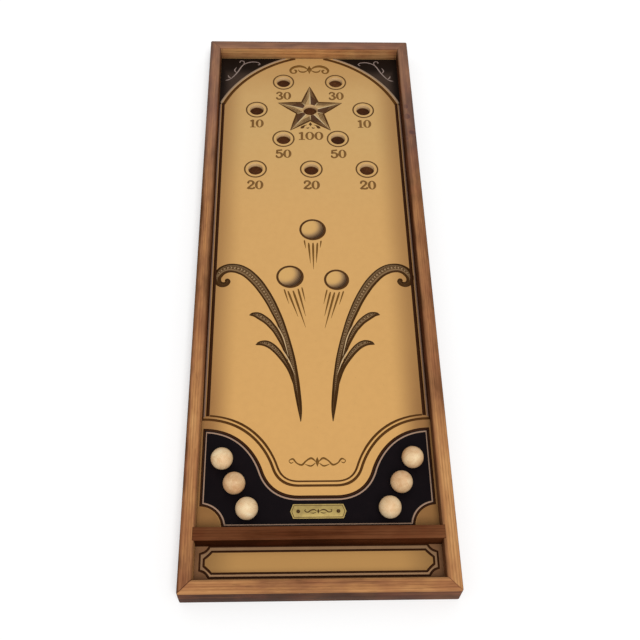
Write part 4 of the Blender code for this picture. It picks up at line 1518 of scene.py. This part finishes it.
def makePanel():
    look = panelLook
    seatRings = []
    for place in seats.values():
        edge = math.sqrt(seatRadius ** 2 - (place.z - boardTop) ** 2) / mm
        seatRings.append(arc((place.x / mm, place.y / mm), edge, 0, 360, 10.0)[:-1])
    inkSheet("lowerPanel", [panelOutline(0.0)] + seatRings, blackInk, 1)
    line = wideAll(panelOutline(look["lineInset"]), look["lineWide"])
    inkLines("panelPaleLine", [line + line[:1]], panelLine, 3)
    edge = wideAll(panelOutline(look["edgeInset"]), look["edgeWide"])
    inkLines("panelEdgeLine", [edge + edge[:1]], lineInk, 2)
    corner = arc(look["cornerCentre"], look["cornerRadius"] - look["washGap"], *look["washTurn"], 5.0)
    side, foot = look["washSide"], look["washFoot"]
    wash = [(side, foot), (side, corner[0][1])] + corner + [(corner[-1][0], foot)]
    inkSheet("panelCornerWash", [wash, mirrored(wash)], cornerWash, 0)


makePanel()

trayLook = {
    "outer": (174.7, -495.3, -541.7), "inner": (168.7, -503.0, -535.6), "dark": 3.6,
    "outerNotch": (14.0, 11.0), "innerNotch": (11.5, 11.0), "outerBow": 2.2, "innerBow": 0.4, "bowSteps": 6,
    "washEdge": 181.9, "washEnds": (-551.6, -470.5),
    "field": tint(184, 138, 80), "ends": tint(112, 80, 46), "endsFrom": (0.120, 0.178), "endsShare": 0.6,
    "middle": -0.519, "rims": tint(150, 108, 64), "rimsFrom": (0.007, 0.018), "rimsShare": 0.35,
    "tooth": tint(208, 164, 104),
}


# The tray's field: painted light in the middle and painted shade towards both ends
def trayFieldMaterial():
    look = trayLook
    material, wire = newMaterial("trayFieldInk")
    place = objectPlace(wire)
    x, y = place.parts()[:2]
    clouds = place.grains(30.0, 3.0)
    tooth = place.grains(1300.0, 2.0)
    # painted shade towards the field's ends, by the side rails
    ends = (x.size() + clouds * 0.012).smooth(*look["endsFrom"])
    rims = (y - look["middle"]).size().smooth(*look["rimsFrom"])
    colour = (ends * look["endsShare"]).mix(look["field"], look["ends"])
    colour = (rims * look["rimsShare"]).mix(colour, look["rims"])
    colour = (tooth * 0.10 + clouds * 0.08).mix(colour, look["tooth"])
    closePrint(wire, colour, 0.44 + tooth * inkFinish["toothShare"], tooth, inkFinish["paperGloss"])
    return material


trayField = trayFieldMaterial()
traySurround = inkMaterial("traySurroundInk", tint(130, 93, 64), tint(113, 79, 53), 0.6)
# the band turns lighter towards the front rail: painted light against the rail's shadow
bandInk = inkMaterial("trayBandInk", tint(140, 108, 78), tint(158, 124, 92),
                      frontLight=(-0.528, -0.539, tint(186, 146, 108)))


def notchedFrame(half, top, bottom, notch, bow):
    # a long frame whose corners are cut across, the cut bowed inwards by bow
    dx, dy = notch
    first, last = Vector((half - dx, top)), Vector((half, top - dy))
    inward = Vector((-dy, -dx)).normalized()
    shares = [i / trayLook["bowSteps"] for i in range(trayLook["bowSteps"] + 1)]
    corner = [tuple(first.lerp(last, t) + inward * bow * math.sin(math.pi * t)) for t in shares]
    right = corner + [(x, top + bottom - y) for x, y in corner[::-1]]
    whole = right + mirrored(right)[::-1]
    return whole + whole[:1]


def makeTray():
    look = trayLook
    outer = notchedFrame(*look["outer"], look["outerNotch"], look["outerBow"])
    inner = notchedFrame(*look["inner"], look["innerNotch"], look["innerBow"])
    edge = look["washEdge"]
    low, high = look["washEnds"]
    wash = [(-edge, low), (edge, low), (edge, high), (-edge, high)]
    inkSheet("traySurround", [wash, outer[:-1]], traySurround, 0)
    inkSheet("trayBand", [outer[:-1], inner[:-1]], bandInk, 0)
    inkSheet("trayField", [inner[:-1]], trayField, 0)
    inkLines("trayDarkLines", [wideAll(outer, look["dark"]), wideAll(inner, look["dark"])], lineInk, 2)


makeTray()
print("panel and tray done")

flourishLook = {
    "bold": 2.2,
    "top": ([(3, 519, 0.6), (10, 526, 2.2), (21, 529, 3.0), (33, 525, 2.8), (39, 517, 2.2), (36, 509, 1.6),
             (29, 509, 1.4), (27, 515, 2.0), (31, 518, 1.6)],
            [(3, 517, 0.6), (11, 512, 1.8), (19, 513, 1.6), (23, 519, 0.5)]),
    "topMiddle": [(0, 531, 0.3), (0, 525, 2.2), (0, 519, 4.4), (0, 513, 2.0), (0, 507, 0.3)],
    "low": ([(2, -361, 0.5), (9, -355, 1.6), (17, -359, 1.1), (24, -366, 1.5), (32, -363, 1.0),
             (38, -356, 1.3), (44, -359, 0.5), (41, -363, 0.8), (37, -361, 0.4)],
            [(3, -363, 0.4), (10, -368, 1.2), (19, -365, 0.4)]),
    "lowMiddle": [(0, -353, 0.2), (0, -361, 2.4), (0, -369, 0.2)],
}


def makeFlourishes():
    strokes = []
    for place in ("top", "low"):
        half = [through(stroke) for stroke in flourishLook[place]]
        strokes += half + [mirrored(stroke) for stroke in half]
        strokes.append(through(flourishLook[place + "Middle"]))
    inkLines("flourishes", bolder(strokes, flourishLook["bold"]), strokeInk, 0)


# The plate's engraved flourish and the dark rosettes round its pins
def makePlateMarks():
    look = plateLook
    low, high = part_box("brass_plate")
    level = (low.y + high.y) / 2 / mm
    half = [through(stroke) for stroke in look["flourish"]]
    strokes = half + [mirrored(stroke) for stroke in half] + [through(look["flourishMiddle"])]
    strokes = bolder(strokes, look["flourishBold"])
    strokes = [[(x, y + level, wide) for x, y, wide in stroke] for stroke in strokes]
    radius, wide = look["rosette"]
    for side in ("left", "right"):
        middle = sum(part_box("plate_pin_" + side), Vector()) / 2 / mm
        strokes.append(ring((middle.x, middle.y), radius, wide, 15))
    inkLines("plateMarks", strokes, engraved, (high.z - boardTop) / inkLook["step"], "brass")


makeFlourishes()
makePlateMarks()
print("flourishes done")

studioLook = {
    "floorSize": 12.0, "floorDrop": 0.2 * mm, "floor": 0.80, "bounce": 0.40, "lift": 0.24, "world": 0.42,
    "sunFrom": (0.10, -0.55, 1.0), "sunAway": 3, "sunPower": 2.1, "sunSoftness": 34.0,
}


def seenRay(wire):
    # 1 where the background is looked at, straight, in a mirror or through glass
    rays = wire.node("ShaderNodeLightPath")
    seen = rays.other("Is Camera Ray")
    for name in ("Is Glossy Ray", "Is Transmission Ray"):
        seen = seen.math("MAXIMUM", seen, rays.other(name))
    return seen


# A pale floor that the camera sees near white, with the shadow kept, and that throws less light back
def floorMaterial():
    look = studioLook
    material, wire = newMaterial("paleFloor")
    cloud = objectPlace(wire).grains(3.0, 3.0)
    seen = seenRay(wire)
    pale = (cloud * 0.06).mix(grey(look["floor"]), tint(224, 224, 222))
    closeMaterial(wire, {
        "Base Color": seen.mix(grey(look["bounce"]), pale),
        "Roughness": 0.9,
        "Specular IOR Level": 0.1,
        "Emission Color": seen.mix(grey(0.0), grey(1.0)),
        "Emission Strength": look["lift"],
    })
    return material


def makeStudio():
    look = studioLook
    half, drop = look["floorSize"] / 2, look["floorDrop"]
    mesh = bpy.data.meshes.new("studioFloor")
    corners = [(x * half, y * half, -drop) for x, y in ((-1, -1), (1, -1), (1, 1), (-1, 1))]
    mesh.from_pydata(corners, [], [(0, 1, 2, 3)])
    addPiece("studioFloor", mesh, floorMaterial())
    world = bpy.data.worlds.new("studioWorld")
    world.use_nodes = True
    world.node_tree.nodes.clear()
    sky = Wire(world.node_tree)
    light = sky.node("ShaderNodeBackground", None, {"Color": grey(1.0), "Strength": look["world"]})
    white = sky.node("ShaderNodeBackground", None, {"Color": grey(1.0), "Strength": 1.0})
    both = sky.node("ShaderNodeMixShader", None, {0: seenRay(sky), 1: light, 2: white})
    sky.node("ShaderNodeOutputWorld", None, {"Surface": both})
    bpy.context.scene.world = world
    sun = bpy.data.lights.new("keySun", "SUN")
    sun.energy = look["sunPower"]
    sun.angle = math.radians(look["sunSoftness"])
    holder = bpy.data.objects.new("keySun", sun)
    holder.location = Vector(look["sunFrom"]) * look["sunAway"]
    holder.rotation_euler = (-Vector(look["sunFrom"])).to_track_quat("-Z", "Y").to_euler()
    bpy.context.scene.collection.objects.link(holder)


# place in millimetres, angles in degrees
cameraLook = {"place": (-44.1, -962.7, 1349.3), "pitch": 57.027, "yaw": 3.552, "roll": 2.835,
              "focalPixels": 930.8, "imagePixels": 640.0, "sensor": 36.0}


def makeCamera():
    look = cameraLook
    pitch, yaw, roll = (math.radians(look[key]) for key in ("pitch", "yaw", "roll"))
    forward = Vector((math.sin(yaw) * math.cos(pitch), math.cos(yaw) * math.cos(pitch), -math.sin(pitch)))
    right = Vector((math.cos(yaw), -math.sin(yaw), 0.0))
    up = right.cross(forward)
    rolledRight = math.cos(roll) * right + math.sin(roll) * up
    rolledUp = math.cos(roll) * up - math.sin(roll) * right
    lens = bpy.data.cameras.new("photoCamera")
    lens.sensor_width = look["sensor"]
    lens.lens = look["focalPixels"] / look["imagePixels"] * look["sensor"]
    camera = bpy.data.objects.new("photoCamera", lens)
    turn = Matrix((rolledRight, rolledUp, -forward)).transposed()
    camera.matrix_world = Matrix.Translation(Vector(look["place"]) * mm) @ turn.to_4x4()
    bpy.context.scene.collection.objects.link(camera)
    bpy.context.scene.camera = camera


makeStudio()
makeCamera()
bpy.context.scene.view_settings.view_transform = "Standard"
print("studio and camera done")

bpy.context.view_layer.update()
